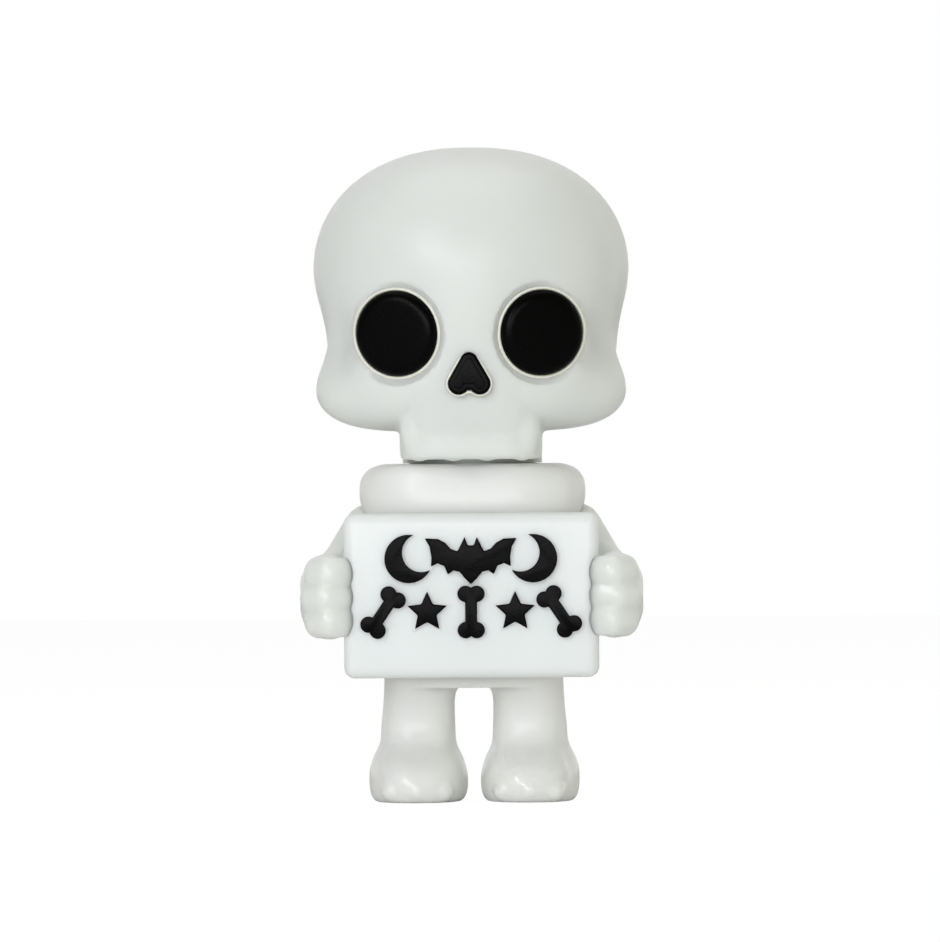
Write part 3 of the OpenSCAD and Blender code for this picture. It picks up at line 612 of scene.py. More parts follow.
# %% Draw the nose outline
def nose_outline(grow, steps=10):
    """Points round the nose: over the top, round the right lobe, the notch, the left lobe."""
    lobe_r, lobe_x, lobe_z = 1.9 + grow, 1.9, -1.9
    top_r, top_z = 1.45 + grow, 2.3
    lean = Vector((lobe_x, lobe_z - top_z))
    side_angle = atan2(lean.y, lean.x) + pi / 2
    offset = asin((lobe_r - top_r) / lean.length)
    start = side_angle + offset
    right = []
    for k in range(steps + 1):
        a = pi / 2 + (start - pi / 2) * k / steps
        right.append((top_r * cos(a), top_z + top_r * sin(a)))
    notch = acos(max(-1.0, min(1.0, (0.35 - lobe_x) / lobe_r)))
    for k in range(2 * steps + 1):
        a = start + (-notch - start) * k / (2 * steps)
        right.append((lobe_x + lobe_r * cos(a), lobe_z + lobe_r * sin(a)))
    left = [(-x, z) for x, z in reversed(right[1:])]
    return right + left


print("nose", len(nose_outline(0.0)), "points round")

# %% [markdown]
# ## Cut the nose's seat
# A flat outline becomes a plate in the same way each time: a filled circle with as many points
# takes the outline's points, and its face is extruded. A plate that is a hair larger than the
# nose cuts the seat, and is kept to cut the lip as well.

# %% Cut the nose's seat
def plate(outline, thickness):
    """A flat outline filled and extruded up by a thickness."""
    put_down()
    bpy.ops.mesh.primitive_circle_add(vertices=len(outline), radius=1.0, fill_type="NGON")
    obj = bpy.context.active_object
    for v, (x, y) in zip(obj.data.vertices, outline):
        v.co = (x, y, 0.0)
    bpy.ops.object.mode_set(mode="EDIT")
    bpy.ops.mesh.select_all(action="SELECT")
    bpy.ops.mesh.extrude_region_move(TRANSFORM_OT_translate={"value": (0, 0, thickness)})
    bpy.ops.mesh.select_all(action="SELECT")
    bpy.ops.mesh.normals_make_consistent(inside=False)
    bpy.ops.object.mode_set(mode="OBJECT")
    return obj


nose_place = Matrix.Translation((0.0, NOSE_Y, NOSE_Z)) @ Matrix.Rotation(radians(90), 4, "X")
seat = plate(nose_outline(0.12), 10.0)
seat.data.transform(nose_place @ Matrix.Translation((0, 0, -1.6)))
cut(skull, seat, keep_tool=True)
print("skull with its seats", len(skull.data.polygons), "faces")

# %% [markdown]
# ## The lips
# A thin rim of vinyl stands round each black button. It is so thin that light runs right
# through it, and the eye sees it as a fine pale line between the lacquer and the skin. That
# glow is painted light: the rims get a paler, creamier colour than the skin. Round the eyes it
# is a torus, which is already the right rounded section, and round the nose a bevelled plate
# with the seat cut out. They are pieces of their own for that painted paler colour.

# %% Make the lips
# Painted light: the cream tints are paler than the skin's, standing in for light shining through the thin
# rims.
lip_glow_paint = milky_vinyl("lip_vinyl_painted_glow", "#F4F1E4", "#EFECDC", 0.25, depth=0.25)
put_down()
bpy.ops.mesh.primitive_torus_add(
    major_radius=8.12, minor_radius=0.29, major_segments=96, minor_segments=14,
)
left_lip = bpy.context.active_object
left_lip.data.transform(Matrix.Translation((0, 0, 0.55)))
right_lip = copy_of(left_lip, "right_lip")
for side, lip, word in ((1, left_lip, "left"), (-1, right_lip, "right")):
    lip.data.transform(eye_place(side))
    finish(lip, f"eye_lip_{word}", "head", lip_glow_paint)
lip = plate(nose_outline(0.42), 1.2)
press(lip, "BEVEL", width=0.16, segments=2, limit_method="ANGLE", angle_limit=radians(60))
lip.data.transform(nose_place @ Matrix.Translation((0, 0, -0.55)))
cut(lip, seat)
finish(lip, "nose_lip", "head", lip_glow_paint)

# %% [markdown]
# ## Part the skull
# The real skull is moulded as a face and a back that meet in a fine line over the ears and the
# crown. The finished form is copied, and each copy keeps its own side of that line.

# %% Part the skull at the ears
SPLIT_GAP = 0.02
ROOM = 60
back_half = copy_of(skull, "skull_back_half")
cut(skull, block((-ROOM, -ROOM, 40), (ROOM, -SPLIT_GAP, 140)), "INTERSECT")
cut(back_half, block((-ROOM, SPLIT_GAP, 40), (ROOM, ROOM, 140)), "INTERSECT")
finish(skull, "skull_face_shell", "head", skin_vinyl, ["skull_face"])
finish(back_half, "skull_back_shell", "head", skin_vinyl, ["skull_back"])

# %% [markdown]
# ## Turning on a lathe
# A turned piece is drawn as half of its section and spun round its axis, as on a lathe. The
# half section starts as a plain circle of edges whose points are moved to the profile. The
# edge that closes it lies on the axis, where the spin leaves nothing of it, so after the
# doubles are merged the loose edge is deleted.

# %% Turn a profile
def turned_shape(profile, sides=96):
    """profile: (radius, height) from the bottom of the axis to the top."""
    put_down()
    bpy.ops.mesh.primitive_circle_add(vertices=len(profile), radius=1.0, fill_type="NOTHING")
    obj = bpy.context.active_object
    for v, (r, z) in zip(obj.data.vertices, profile):
        v.co = (r, 0.0, z)
    bpy.ops.object.mode_set(mode="EDIT")
    bpy.ops.mesh.select_all(action="SELECT")
    bpy.ops.mesh.spin(steps=sides, angle=2 * pi, center=(0, 0, 0), axis=(0, 0, 1))
    bpy.ops.mesh.select_all(action="SELECT")
    bpy.ops.mesh.remove_doubles(threshold=0.001)
    bpy.ops.mesh.delete_loose()
    bpy.ops.mesh.select_all(action="SELECT")
    bpy.ops.mesh.normals_make_consistent(inside=False)
    bpy.ops.object.mode_set(mode="OBJECT")
    return obj


print("lathe ready")

# %% [markdown]
# ## The eye buttons
# On the real figure each eye is a moulded button on a peg, pushed into its seat. A broad round
# bevel runs from the side to a nearly flat face, and catches the light in a thin crescent. The
# button is turned once and copied for the other eye.

# %% Make the eye buttons
EYE_R = 7.85
EYE_FLAT = 5.9
EYE_PROUD = 2.1
bevel = [
    (EYE_FLAT + (EYE_R - EYE_FLAT) * cos(radians(a)), 0.4 + (EYE_PROUD - 0.4) * sin(radians(a)))
    for a in range(0, 91, 10)
]
PEG_R = 2.5
PEG_END = -5.8
BUTTON_BACK = -1.4
peg_and_side = [(0, PEG_END), (PEG_R, PEG_END), (PEG_R, BUTTON_BACK), (EYE_R, BUTTON_BACK)]
crown = [(EYE_FLAT - 0.5, EYE_PROUD + 0.03), (0, EYE_PROUD + 0.05)]
left_button = turned_shape([*peg_and_side, *bevel, *crown])
right_button = copy_of(left_button, "right_button")
for side, button, word in ((1, left_button, "left"), (-1, right_button, "right")):
    button.data.transform(eye_place(side))
    finish(button, f"eye_button_{word}", "head", lacquer, [f"eye_{word}"], sharp=50)

# %% [markdown]
# ## The nose plug
# The nose is a plate with a bevelled rim, on a peg like the eyes'. A smaller plate with its own
# bevel stands on it, so that a raised face shows inside the rim. The three are joined by
# Boolean unions, because they must stay one closed shape.

# %% Make the nose
nose = plate(nose_outline(0.0), 2.3)
nose.data.transform(Matrix.Translation((0, 0, -1.6)))
press(nose, "BEVEL", width=0.5, segments=4, limit_method="ANGLE", angle_limit=radians(60), profile=0.6)
face = plate(nose_outline(-0.95), 1.0)
face.data.transform(Matrix.Translation((0, 0, 0.2)))
press(face, "BEVEL", width=0.28, segments=3, limit_method="ANGLE", angle_limit=radians(60), profile=0.6)
peg = bar((0, 0, -4.6), (0, 0, 0.0), 1.3, 24)
cut(nose, face, "UNION")
cut(nose, peg, "UNION")
nose.data.transform(nose_place)
finish(nose, "nose_plug", "head", lacquer, ["nose_button"], sharp=50)

# %% [markdown]
# ## The body
# Collar, chest and hips are one moulding with the legs. Its outline swells and narrows, so it is
# drawn as stacks of squared rings: one for the trunk and one for each leg with its foot. Each
# row gives a height and how far the ring reaches, and a smooth curve fills the levels between.

# %% Rings of the trunk
TORSO_ROWS = [
    (21.0, 15.8, 11.4), (21.6, 16.3, 12.0), (29.0, 16.8, 12.4), (39.0, 17.9, 13.0), (50.0, 18.7, 13.6),
    (53.0, 19.9, 15.0), (54.8, 20.6, 15.35), (57.0, 20.8, 15.15), (59.4, 20.4, 14.75), (61.2, 18.8, 14.3),
    (62.0, 16.3, 13.7),
]


def torso_stack(grow, count=40, sides=72):
    rings = []
    for k, (z, half, deep) in enumerate(smooth_rows(TORSO_ROWS, count)):
        z += -grow if k == 0 else grow if k == count else 0.0
        rings.append((z, 0.0, half + grow, deep + grow, deep + grow))
    return pull_rings(rings, 0.68, sides)


print("collar", 2 * max(half for z, half, deep in TORSO_ROWS), "mm wide")

# %% [markdown]
# ## Legs and toes
# A leg's ring may also stand off the leg's own middle and reach further forward than back, as a
# foot does. The toes are three drops pressed into the front of each foot.

# %% Rings of the legs
ANKLE = 10.25
LEG_ROWS = [
    (0.0, 0.0, 7.9, 13.2, 7.6), (0.8, 0.0, 8.6, 14.0, 8.1), (2.2, 0.0, 9.0, 14.5, 8.4),
    (4.0, 0.0, 9.1, 14.5, 8.5), (6.0, 0.1, 8.9, 13.7, 8.4), (8.0, 0.1, 8.3, 11.8, 8.0),
    (9.6, 0.1, 7.5, 9.9, 7.4), (11.2, 0.05, 6.95, 8.6, 7.0), (14.0, 0.0, 6.8, 7.8, 6.9),
    (17.0, -0.1, 6.6, 8.1, 6.8), (19.8, -0.3, 6.6, 9.4, 7.4), (23.0, -1.1, 7.3, 11.4, 9.0),
]


def leg_stack(side, grow, count=36, sides=56):
    rings = []
    for k, (z, shift, half, front, back) in enumerate(smooth_rows(LEG_ROWS, count)):
        z += -grow if k == 0 else grow if k == count else 0.0
        rings.append((z, side * (ANKLE + shift), half + grow, front + grow, back + grow))
    return pull_rings(rings, 0.85, sides)


TOE_PITCH = 4.5


def toe_drops(side):
    drops = []
    for k in range(3):
        x = (k - 1) * TOE_PITCH
        back = 0.07 * x * x
        drops.append(drop((side * ANKLE + x, -12.6 + back, 2.3), (2.25, 2.5, 2.2), 24, 16))
    return drops


print("sole", 2 * LEG_ROWS[0][2], "mm wide")

# %% [markdown]
# ## Knead the body
# Trunk, legs and toes are kneaded together, so that the hips run softly into the legs, and the
# soles are cut flat to stand on. The same rings drawn 2 mm smaller make the core that will
# hollow the body, and a core drawn smaller still sets how deep the door's ledge stands in.

# %% Knead the body
clay = [torso_stack(0.0)]
for side in (-1, 1):
    clay += [leg_stack(side, 0.0), *toe_drops(side)]
body = knead(clay, 0.42, 8)
cut(body, block((-60, -60, -20), (60, 60, 0.0)))
body_skin = copy_of(body, "body_skin")
core = knead([torso_stack(-2.0, 24, 40), leg_stack(-1, -2.0, 20, 32), leg_stack(1, -2.0, 20, 32)], 0.8, 2)
deep_core = knead([torso_stack(-3.4, 24, 40)], 0.8, 2)
print("body", len(body.data.polygons), "faces")

# %% [markdown]
# ## What the back carries
# The back has a recess for the battery door, four wells for the case screws and a slot for the
# switch. Their places are kept here, since the body, the door and the bosses all use them.

# %% Places on the back
DOOR_LOW = Vector((-13.0, 1.0, 29.4))
DOOR_HIGH = Vector((13.0, 31.0, 50.8))
WINDOW = ((-10.6, 6.0, 35.9), (10.6, 31.0, 47.9))
SCREWS = [(s * x, z, seat) for s in (-1, 1) for x, z, seat in ((11.2, 54.2, 8.0), (10.5, 25.4, 5.5))]
SCREW_Z = 31.6
SWITCH_Z = 25.6


def door_block(grow):
    spread = Vector((grow, 0.0, grow))
    return block(DOOR_LOW - spread, DOOR_HIGH + spread)


print("door", [round(v, 1) for v in DOOR_HIGH - DOOR_LOW], "screws", len(SCREWS))

# %% [markdown]
# ## Hollow the body and open the door's recess
# The core hollows the body. The door's ledge is a block that is kept only between two skins,
# so it follows the curve of the back, and the recess is cut before the ledge is added.

# %% Hollow the body
def only_between(obj, outer, inner):
    cut(obj, outer, "INTERSECT", keep_tool=True)
    return cut(obj, inner, keep_tool=True)


cut(body, core, keep_tool=True)
ledge = only_between(door_block(1.6), core, deep_core)
cut(body, door_block(0.0))
cut(body, ledge, "UNION")
print("hollow body", len(body.data.polygons), "faces")

# %% [markdown]
# ## Screw bosses and the switch's pad
# Each screw runs in a boss from the back to the split line, and the switch lies against a flat
# pad. They are bars and a block that the body's own skin trims to length, so none can show
# outside.

# %% Stand the bosses inside
for x, z, _ in SCREWS:
    boss = bar((x, 0.05, z), (x, 20.0, z), 3.2)
    cut(boss, body_skin, "INTERSECT", keep_tool=True)
    cut(body, boss, "UNION")
boss = bar((0, 3.0, SCREW_Z), (0, 20.0, SCREW_Z), 2.2)
cut(boss, core, "INTERSECT", keep_tool=True)
cut(body, boss, "UNION")
pad = block((-5.3, 9.0, SWITCH_Z - 2.5), (5.3, 13.0, SWITCH_Z + 2.5))
cut(pad, body_skin, "INTERSECT", keep_tool=True)
cut(body, pad, "UNION")
print("body with bosses", len(body.data.polygons), "faces")

# %% [markdown]
# ## Wells, bores and sockets
# What is drilled comes last, so that the drill goes through bosses and walls alike: a well and
# a bore for each screw, the window to the cells, the switch's slot, the round seat of the
# neck's bearing and the sockets of the arms' pegs.

# %% Drill the body and part it
for x, z, seat in SCREWS:
    cut(body, bar((x, seat, z), (x, 30.0, z), 2.2))
    cut(body, bar((x, -7.0, z), (x, 30.0, z), 1.05, 24))
cut(body, bar((0, 2.0, SCREW_Z), (0, 30.0, SCREW_Z), 1.05, 24))
cut(body, block(*WINDOW))
cut(body, block((-2.05, 5.0, SWITCH_Z - 0.95), (2.05, 30.0, SWITCH_Z + 0.95)))
cut(body, bar((0, 0, 58.8), (0, 0, 66.0), 13.55, 96))
cut(body, bar((0, 0, 50.0), (0, 0, 66.0), 12.96, 96))
for side in (-1, 1):
    cut(body, bar((side * 10.0, 0, 50.0), (side * 30.0, 0, 50.0), 3.1))
back_half = copy_of(body, "body_back_half")
cut(body, block((-ROOM, -ROOM, -10), (ROOM, -SPLIT_GAP, 90)), "INTERSECT")
cut(back_half, block((-ROOM, SPLIT_GAP, -10), (ROOM, ROOM, 90)), "INTERSECT")
finish(body, "body_front_shell", "body", body_paint_paler, ["body_front"])
finish(back_half, "body_back_shell", "body", body_paint_paler, ["body_back"])

# %% [markdown]
# ## The battery door
# The door is the very piece of skin that the recess took away, drawn in by a small gap all
# round, with its edges broken and a seat for its screw. It could be a bent plate, but cut from
# the same skin it is sure to lie flush. Two ribs behind it keep the cells in their tray.

# %% Make the battery door
panel = door_block(-0.3)
press(panel, "BEVEL", width=1.2, segments=4, limit_method="ANGLE", angle_limit=radians(60))
thin_core = knead([torso_stack(-1.95, 24, 40)], 0.8, 2)
only_between(panel, body_skin, thin_core)
bin_it(thin_core)
cut(panel, bar((0, 2.0, SCREW_Z), (0, 30.0, SCREW_Z), 1.05, 24))
cut(panel, bar((0, 11.1, SCREW_Z), (0, 30.0, SCREW_Z), 1.95, 32))
for x in (-5.0, 5.0):
    rib = block((x - 0.6, 8.85, 38.5), (x + 0.6, 12.4, 45.3))
    cut(rib, body_skin, "INTERSECT", keep_tool=True)
    cut(panel, rib, "UNION")
finish(panel, "battery_door_panel", "door", body_paint_paler, ["battery_door"])

# %% [markdown]
# ## The board
# The board is a moulded slab with softly rounded edges, held to the chest by two pegs. A cube
# with a bevel of six segments is all it needs. A copy is kept as a tool, so that the hands can
# be cut to close round it.

# %% Make the board
board_low, board_high = box_mm("sign_board")
BOARD_BACK = -15.7
BOARD_FRONT = board_low.y
board = block((board_low.x, BOARD_FRONT, board_low.z), (board_high.x, BOARD_BACK, board_high.z))
press(board, "BEVEL", width=2.0, segments=6, limit_method="ANGLE", angle_limit=radians(60))
for side in (-1, 1):
    cut(board, bar((side * 11, BOARD_BACK - 1, 38.0), (side * 11, BOARD_BACK + 2.9, 38.0), 2.0, 32), "UNION")
board_tool = copy_of(board, "board_tool")
print("board front at", round(BOARD_FRONT, 2))

# %% [markdown]
# ## Emblems
# Two rows of generic emblems stand on the board: a bat between two moons, and bones and stars
# below. Each is a flat outline that is extruded and bevelled. `grow` draws the same outline a
# little wider, for the plinth under it. Arcs are worked out, and only corners are points.

# %% Stars and bones
def arc(centre, radius, start, end, steps):
    angles = [radians(start + (end - start) * k / steps) for k in range(steps + 1)]
    return [(centre[0] + radius * cos(a), centre[1] + radius * sin(a)) for a in angles]


def star_outline(grow):
    points = []
    for k in range(10):
        radius = (3.8 if k % 2 == 0 else 1.8) + (1.6 if k % 2 == 0 else 0.9) * grow
        points.append((radius * sin(radians(36 * k)), radius * cos(radians(36 * k))))
    return points[::-1]


def bone_outline(grow, tilt):
    knob, x, z, shaft = 1.49 + grow, 3.3, 1.0, 1.08 + grow
    inner = degrees(asin((shaft - z) / knob))
    notch = degrees(acos(min(1.0, z / knob)))
    quarter = arc((x, z), knob, -90 + notch, 180 - inner, 14)
    right = [(px, -pz) for px, pz in reversed(quarter)] + quarter
    turn = Matrix.Rotation(radians(tilt), 2)
    return [tuple(turn @ Vector(p)) for p in right + [(-px, -pz) for px, pz in right]]


print("star", len(star_outline(0.0)), "points, bone", len(bone_outline(0.0, 90)), "points")

# %% [markdown]
# A crescent moon is a disc with a smaller disc taken out of it. The angles where the two
# circles cross follow from the triangle between their middles and the crossing.

# %% Moons
def moon_outline(grow, side):
    outer, inner, shift = 4.4 + grow, 3.5 - grow, Vector((2.3, 1.1))
    gap = shift.length
    middle = degrees(atan2(shift.y, shift.x))
    spread_out = degrees(acos((outer ** 2 + gap ** 2 - inner ** 2) / (2 * outer * gap)))
    spread_in = degrees(acos((inner ** 2 + gap ** 2 - outer ** 2) / (2 * inner * gap)))
    outside = arc((0, 0), outer, middle + spread_out, middle + 360 - spread_out, 40)
    inside = arc(shift, inner, middle - (180 - spread_in), middle - 180 - spread_in, 30)
    points = outside + inside[1:-1]
    return [(side * px, pz) for px, pz in points]


print("moon", len(moon_outline(0.0, 1)), "points")

# %% [markdown]
# The bat has few arcs and many corners, so half of it is a short list of corners: ear, wing
# tip, the scallops under the wing, and the tail. The other half is its mirror. To grow it, each
# corner is moved out along the mean of its two edges' normals.

# %% The bat
BAT_HALF = [
    (0.5, 2.0), (1.0, 3.3), (1.7, 2.0), (2.2, 1.1), (3.3, 1.5), (4.2, 2.4), (5.4, 3.0), (7.6, 3.1),
    (6.8, 1.8), (6.5, 0.2), (6.6, -1.2), (5.5, -0.7), (4.4, -1.1), (3.8, -2.4), (2.9, -1.8), (1.9, -2.0),
    (1.0, -3.0), (0.0, -3.9),
]


def bat_outline(grow):
    loop = BAT_HALF + [(-x, z) for x, z in reversed(BAT_HALF[:-1])]
    points = [Vector((1.1 * x, 1.2 * z)) for x, z in loop]
    area = sum(a.x * b.y - b.x * a.y for a, b in zip(points, points[1:] + points[:1]))
    out = []
    for k, p in enumerate(points):
        before = (p - points[k - 1]).normalized()
        after = (points[(k + 1) % len(points)] - p).normalized()
        normal = Vector((before.y + after.y, -before.x - after.x))
        if normal.length < 1e-6:
            normal = Vector((before.y, -before.x))
        normal = normal.normalized() * (1 if area > 0 else -1)
        out.append(tuple(p + normal * grow))
    return out


print("bat", len(bat_outline(0.0)), "points")

# %% [markdown]
# ## Raise the emblems
# In the mould each emblem is a low plinth of the board's own vinyl, a hair wider than its black
# top, so a thin pale edge shows round the lacquer. The plinths are joined to the board, and the
# tops of a row are bevelled and joined into one piece, as they are sprayed through one mask.

# %% Rows of emblems
UPPER_Z = board_low.z + 21.7
LOWER_Z = board_low.z + 12.0
EMBLEMS = {
    "upper": [
        (-11.3, UPPER_Z, moon_outline, (1,)), (0.0, UPPER_Z, bat_outline, ()),
        (11.3, UPPER_Z, moon_outline, (-1,)),
    ],
    "lower": [
        (-16.0, LOWER_Z, bone_outline, (56,)), (-8.0, LOWER_Z, star_outline, ()),
        (0.0, LOWER_Z, bone_outline, (90,)), (8.0, LOWER_Z, star_outline, ()),
        (16.0, LOWER_Z, bone_outline, (124,)),
    ],
}


def emblem_plate(outline, x, z, depth, thickness):
    obj = plate(outline, thickness)
    place = Matrix.Translation((x, BOARD_FRONT + depth, z)) @ Matrix.Rotation(radians(90), 4, "X")
    obj.data.transform(place)
    return obj


print("rows", {row: len(places) for row, places in EMBLEMS.items()})

# %% [markdown]
# A plinth starts half a millimetre inside the board, so that the union has something to grip,
# and a top starts inside its plinth in the same way.

# %% Make the emblems
PLINTH_EDGE = 0.32
PLINTH_RISE = 0.42
SUNK = 0.5
for row, places in EMBLEMS.items():
    tops = []
    for x, z, outline, options in places:
        plinth = emblem_plate(outline(PLINTH_EDGE, *options), x, z, SUNK, SUNK + PLINTH_RISE)
        cut(board, plinth, "UNION")
        top = emblem_plate(outline(0.0, *options), x, z, 0.04 - PLINTH_RISE, 0.7)
        press(
            top, "BEVEL", width=0.3, segments=3, limit_method="ANGLE", angle_limit=radians(50),
            profile=0.6,
        )
        tops.append(top)
    emblem = pick_up(*tops)
    bpy.ops.object.join()
    finish(emblem, f"emblems_{row}", "body", lacquer, [f"sign_motif_{row}"], sharp=40)
finish(board, "sign_board_slab", "body", board_vinyl, ["sign_board"], sharp=40)

# %% [markdown]
# ## Arms and hands
# Each arm runs from a round shoulder down and forward to a mitt that closes round the edge of
# the board. Its finger tips thin out to nothing on the board's front. Each finger is a sausage
# that starts thick at the side and ends flat, and three of them barely part.

# %% Lay out a hand
FINGER_Z = 37.8
FINGER_PITCH = 4.25


def finger(side, k):
    """k: -1 for the lowest finger, 0 for the middle one, 1 for the highest."""
    z = FINGER_Z + FINGER_PITCH * k
    inset = 0.0 if k == 0 else 0.7
    path = [
        (side * (28.4 - inset), -13.5, z), (side * (28.4 - inset), -17.5, z),
        (side * (26.4 - inset), -19.8, z), (side * 24.2, -20.1, z), (side * 22.6, -20.0, z),
        (side * 20.8, -19.8, z),
    ]
    sizes = [
        (2.9, 2.9, 3.3), (2.9, 2.9, 3.3), (2.8, 2.5, 3.3), (2.2, 1.5, 3.2), (1.7, 0.95, 3.0),
        (1.2, 0.4, 2.7),
    ]
    return sausage(path, sizes)


print("hand", 2 * FINGER_PITCH + 2 * 3.3, "mm tall")

# %% [markdown]
# ## Make the arms
# Upper arm, palm and fingers are kneaded into one skin. Then the board and the body cut their
# own shapes out of it, so hand and board fit as if one were moulded round the other, and a peg
# with a wide cap joins the arm to its socket. The same recipe makes both arms, mirrored in X.

# %% Make the arms
def make_arm(side, word):
    shoulder = (side * 19.3, 0.5, 50.0)
    elbow = (side * 23.1, -5.5, 43.4)
    wrist = (side * 25.6, -11.0, 39.8)
    clay = [sausage([shoulder, elbow, wrist], [(4.6, 4.6, 4.6), (4.6, 4.8, 4.8), (4.8, 4.6, 5.8)])]
    for z in (36.1, 37.9, 39.7):
        clay.append(drop((side * 26.0, -14.4, z), (5.35, 6.8, 6.1)))
    clay += [finger(side, k) for k in (-1, 0, 1)]
    arm = knead(clay, 0.3, 14)
    cut(arm, board_tool, keep_tool=True)
    cut(arm, body_skin, keep_tool=True)
    peg = bar((side * 14.5, 0, 50.0), (side * 20.0, 0, 50.0), 3.0)
    cap = bar((side * 14.5, 0, 50.0), (side * 16.3, 0, 50.0), 4.0)
    cut(peg, cap, "UNION")
    cut(arm, peg, "UNION")
    finish(arm, f"arm_{word}_mitt", "body", mitt_vinyl, [f"arm_{word}"])


make_arm(1, "left")
make_arm(-1, "right")
bin_it(board_tool, body_skin, core, deep_core)

# %% [markdown]
# ## Moulded plastic and plated steel
# The pieces inside keep their engineering shapes and only get their real finishes. Moulded
# plastic has a fine spark-eroded grain, here 0.6 mm so that it can be seen at all. Plated metal
# is smooth, and only how much it blurs a reflection wanders a little.

# %% Plastics and metals
def plain_plastic(name, colour, roughness, grain=0.6):
    material, tree, shader, where = new_material(
        name, Base_Color=linear(colour), Roughness=roughness, IOR=1.5,
    )
    speck = add_node(tree, "ShaderNodeTexNoise", Vector=where, Scale=1 / (grain * MM), Detail=3.0)
    bump = add_node(
        tree, "ShaderNodeBump", Strength=0.25, Distance=0.04 * MM, Height=speck.outputs["Fac"],
    )
    tree.links.new(bump.outputs["Normal"], shader.inputs["Normal"])
    return material


def plated_metal(name, colour):
    material, tree, shader, where = new_material(
        name, Base_Color=linear(colour), Metallic=1.0, Roughness=0.3,
    )
    speck = add_node(tree, "ShaderNodeTexNoise", Vector=where, Scale=1 / (0.5 * MM), Detail=4.0)
    rough = add_node(tree, "ShaderNodeMapRange", Value=speck.outputs["Fac"], To_Min=0.22, To_Max=0.4)
    tree.links.new(rough.outputs["Result"], shader.inputs["Roughness"])
    return material


steel = plated_metal("zinc_plated_steel", "#B9BCC0")
nickel = plated_metal("nickel_plate", "#CFCBC2")
white_abs = plain_plastic("white_moulded_abs", "#E4E4DF", 0.45)
black_abs = plain_plastic("black_moulded_abs", "#17181A", 0.4)
print("hardware", [m.name for m in (steel, nickel, white_abs, black_abs)])

# %% [markdown]
# ## Electrics
# The light board is coated in green solder mask, the lamp is cast in clear epoxy, the resistor
# has a tan ceramic coat, and the wires are insulated in red and black PVC. All of them are
# dielectrics, so they differ only in colour, gloss and how much light goes through.

# %% Finish the hardware
solder_mask = plain_plastic("green_solder_mask", "#1F6B3C", 0.35)
clear_resin = new_material(
    "clear_epoxy_resin", Base_Color=linear("#F4F6F8"), Roughness=0.06, IOR=1.54,
    Transmission_Weight=0.9,
)[0]
ceramic = plain_plastic("tan_ceramic_coat", "#C9A468", 0.5)
red_pvc = plain_plastic("red_pvc_insulation", "#B3241C", 0.38)
black_pvc = plain_plastic("black_pvc_insulation", "#1A1B1D", 0.38)

FINISHES = {
    "neck_shaft": skin_vinyl, "neck_bearing": white_abs, "body_screws": steel, "door_screw": steel,
    "battery_box": white_abs, "button_cells": nickel, "contact_spring": nickel,
    "contact_plates": nickel, "led_board": solder_mask, "led_lamp": clear_resin,
    "led_resistor": ceramic, "wire_positive": red_pvc, "wire_negative": black_pvc,
    "wire_switch": black_pvc, "switch_body": black_abs, "switch_knob": black_abs,
}
for node, material in FINISHES.items():
    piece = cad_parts[node]
    piece.data.materials.clear()
    piece.data.materials.append(material)
print("finished nodes", len(FINISHES))

# %% [markdown]
# ## The studio floor
# A product table is a plain pale sheet that is lit until it reads as white. Here the floor is
# diffuse to every other ray, so that it bounces light under the chin and takes a shadow, and
# for the camera most of it is a glow. A tenth stays diffuse, which keeps a faint contact shadow.

# %% Lay the floor
put_down()
bpy.ops.mesh.primitive_plane_add(size=6.0, location=(0.0, 0.0, 0.0))
floor = bpy.context.active_object
floor.name = "studio_floor"
floor_paint = bpy.data.materials.new("pale_floor")
floor_paint.use_nodes = True
tree = floor_paint.node_tree
tree.nodes.clear()
diffuse = add_node(tree, "ShaderNodeBsdfDiffuse", Color=linear("#F4F4F4"))
glow = add_node(tree, "ShaderNodeEmission", Color=(1, 1, 1, 1), Strength=1.06)
path = add_node(tree, "ShaderNodeLightPath")
share = add_node(
    tree, "ShaderNodeMath", {"operation": "MULTIPLY"}, n0=path.outputs["Is Camera Ray"], n1=0.9,
)
blend = add_node(
    tree, "ShaderNodeMixShader", n0=share.outputs[0], n1=diffuse.outputs[0], n2=glow.outputs[0],
)
add_node(tree, "ShaderNodeOutputMaterial", Surface=blend.outputs[0])
floor.data.materials.append(floor_paint)
print("floor", floor.name)

# %% [markdown]
# ## The backdrop and the room
# The backdrop is white where the camera, a gloss or a clear resin looks at it, and gives no
# more light than the rest of the room, so that it doesn't wash out the figure's edges.

# %% Hang the backdrop
ROOM_LIGHT = 0.32


def white_to_the_eye(tree, kind):
    """Room light for plain surfaces, white for the camera, a gloss or a clear resin."""
    path = add_node(tree, "ShaderNodeLightPath")
    seen = path.outputs["Is Camera Ray"]
    for ray in ("Is Glossy Ray", "Is Transmission Ray"):
        seen = add_node(
            tree, "ShaderNodeMath", {"operation": "MAXIMUM"}, n0=seen, n1=path.outputs[ray],
        ).outputs[0]
    level = add_node(tree, "ShaderNodeMapRange", Value=seen, To_Min=ROOM_LIGHT, To_Max=1.0)
    return add_node(tree, kind, Color=(1, 1, 1, 1), Strength=level.outputs["Result"])


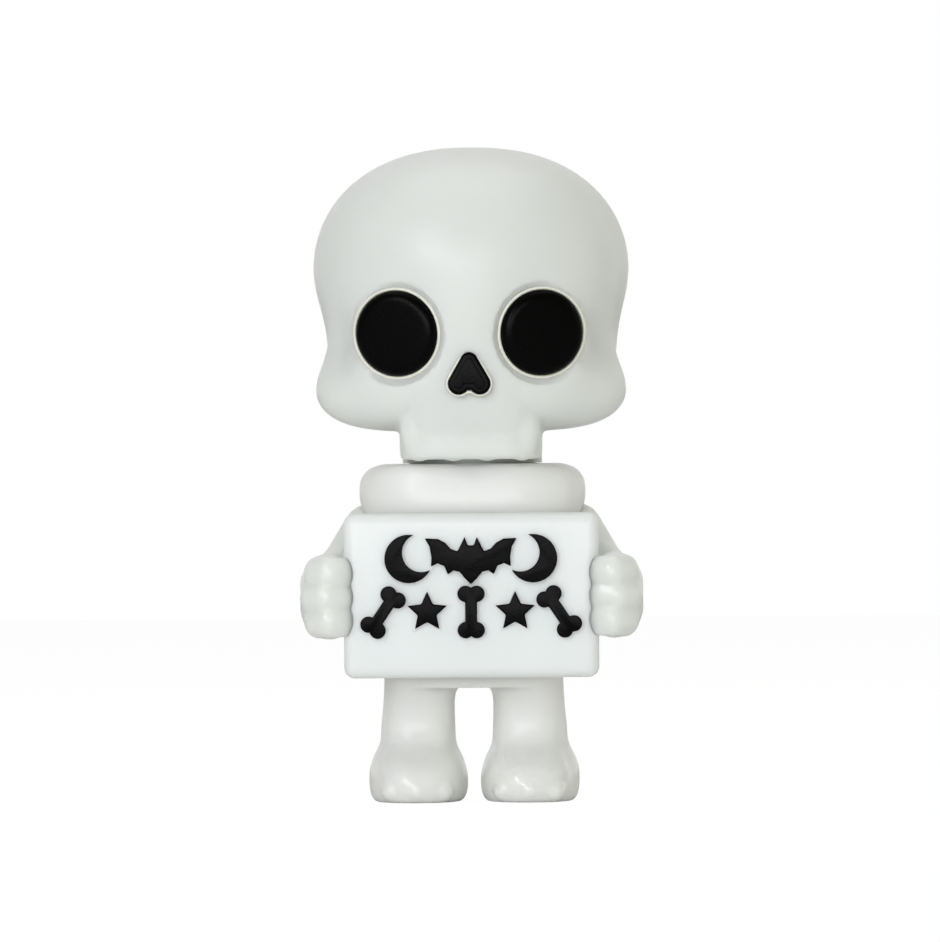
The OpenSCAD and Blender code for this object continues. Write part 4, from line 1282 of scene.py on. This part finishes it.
put_down()
bpy.ops.mesh.primitive_plane_add(
    size=6.0, location=(0.0, 2.0, 0.0), rotation=(radians(90), 0.0, 0.0),
)
backdrop = bpy.context.active_object
backdrop.name = "studio_backdrop"
backdrop_paint = bpy.data.materials.new("white_backdrop")
backdrop_paint.use_nodes = True
tree = backdrop_paint.node_tree
tree.nodes.clear()
white = white_to_the_eye(tree, "ShaderNodeEmission")
add_node(tree, "ShaderNodeOutputMaterial", Surface=white.outputs[0])
backdrop.data.materials.append(backdrop_paint)
print("backdrop", backdrop.name)

# %% [markdown]
# A real studio is never black: its walls send back a little of every lamp. A plain background
# colour does that here, since a picture of a room would show up in the clear resin.

# %% Fill the room with dim light
world = bpy.data.worlds.new("soft_room")
bpy.context.scene.world = world
world.use_nodes = True
tree = world.node_tree
tree.nodes.clear()
room = add_node(tree, "ShaderNodeBackground", Color=(1.0, 1.0, 0.89, 1.0), Strength=ROOM_LIGHT)
add_node(tree, "ShaderNodeOutputWorld", Surface=room.outputs[0])
print("room light", ROOM_LIGHT)

# %% [markdown]
# ## The lamps
# One broad panel behind the camera gives most of the light, flat and soft as in a product
# picture. A soft box high on the left is small enough to put sharp lights on toes and finger
# tips. A weaker, warmer panel on the right lets the far cheek fall off to a soft olive, a strip
# behind draws the rim, and a panel overhead lights the crown and the board's top edge.

# %% Hang the lamps
def lamp(name, place, target, size, power, colour):
    light = bpy.data.lights.new(name, "AREA")
    light.shape = "RECTANGLE"
    light.size, light.size_y = size
    light.energy = power
    light.color = colour
    obj = bpy.data.objects.new(name, light)
    bpy.context.scene.collection.objects.link(obj)
    obj.location = place
    obj.rotation_euler = (Vector(target) - Vector(place)).to_track_quat("-Z", "Y").to_euler()
    return obj


middle = (0.0, 0.0, 0.07)
lamp("key_softbox", (-0.45, -0.78, 0.42), middle, (0.16, 0.3), 1.5, (0.97, 1.0, 1.03))
lamp("front_panel", (-0.2, -2.0, 0.32), middle, (1.6, 0.6), 15.5, (0.98, 0.99, 1.01))
lamp("warm_panel", (0.9, -0.2, 0.25), middle, (0.5, 0.5), 0.4, (1.0, 0.98, 0.6))
lamp("rim_strip", (0.75, 0.55, 0.25), middle, (0.12, 0.6), 0.5, (1.0, 1.0, 0.9))
lamp("top_panel", (0.0, 0.1, 0.9), middle, (0.8, 0.8), 2.1, (1.0, 1.0, 1.0))
bpy.context.scene.view_settings.view_transform = "Standard"
print("lamps", len(bpy.data.lights))
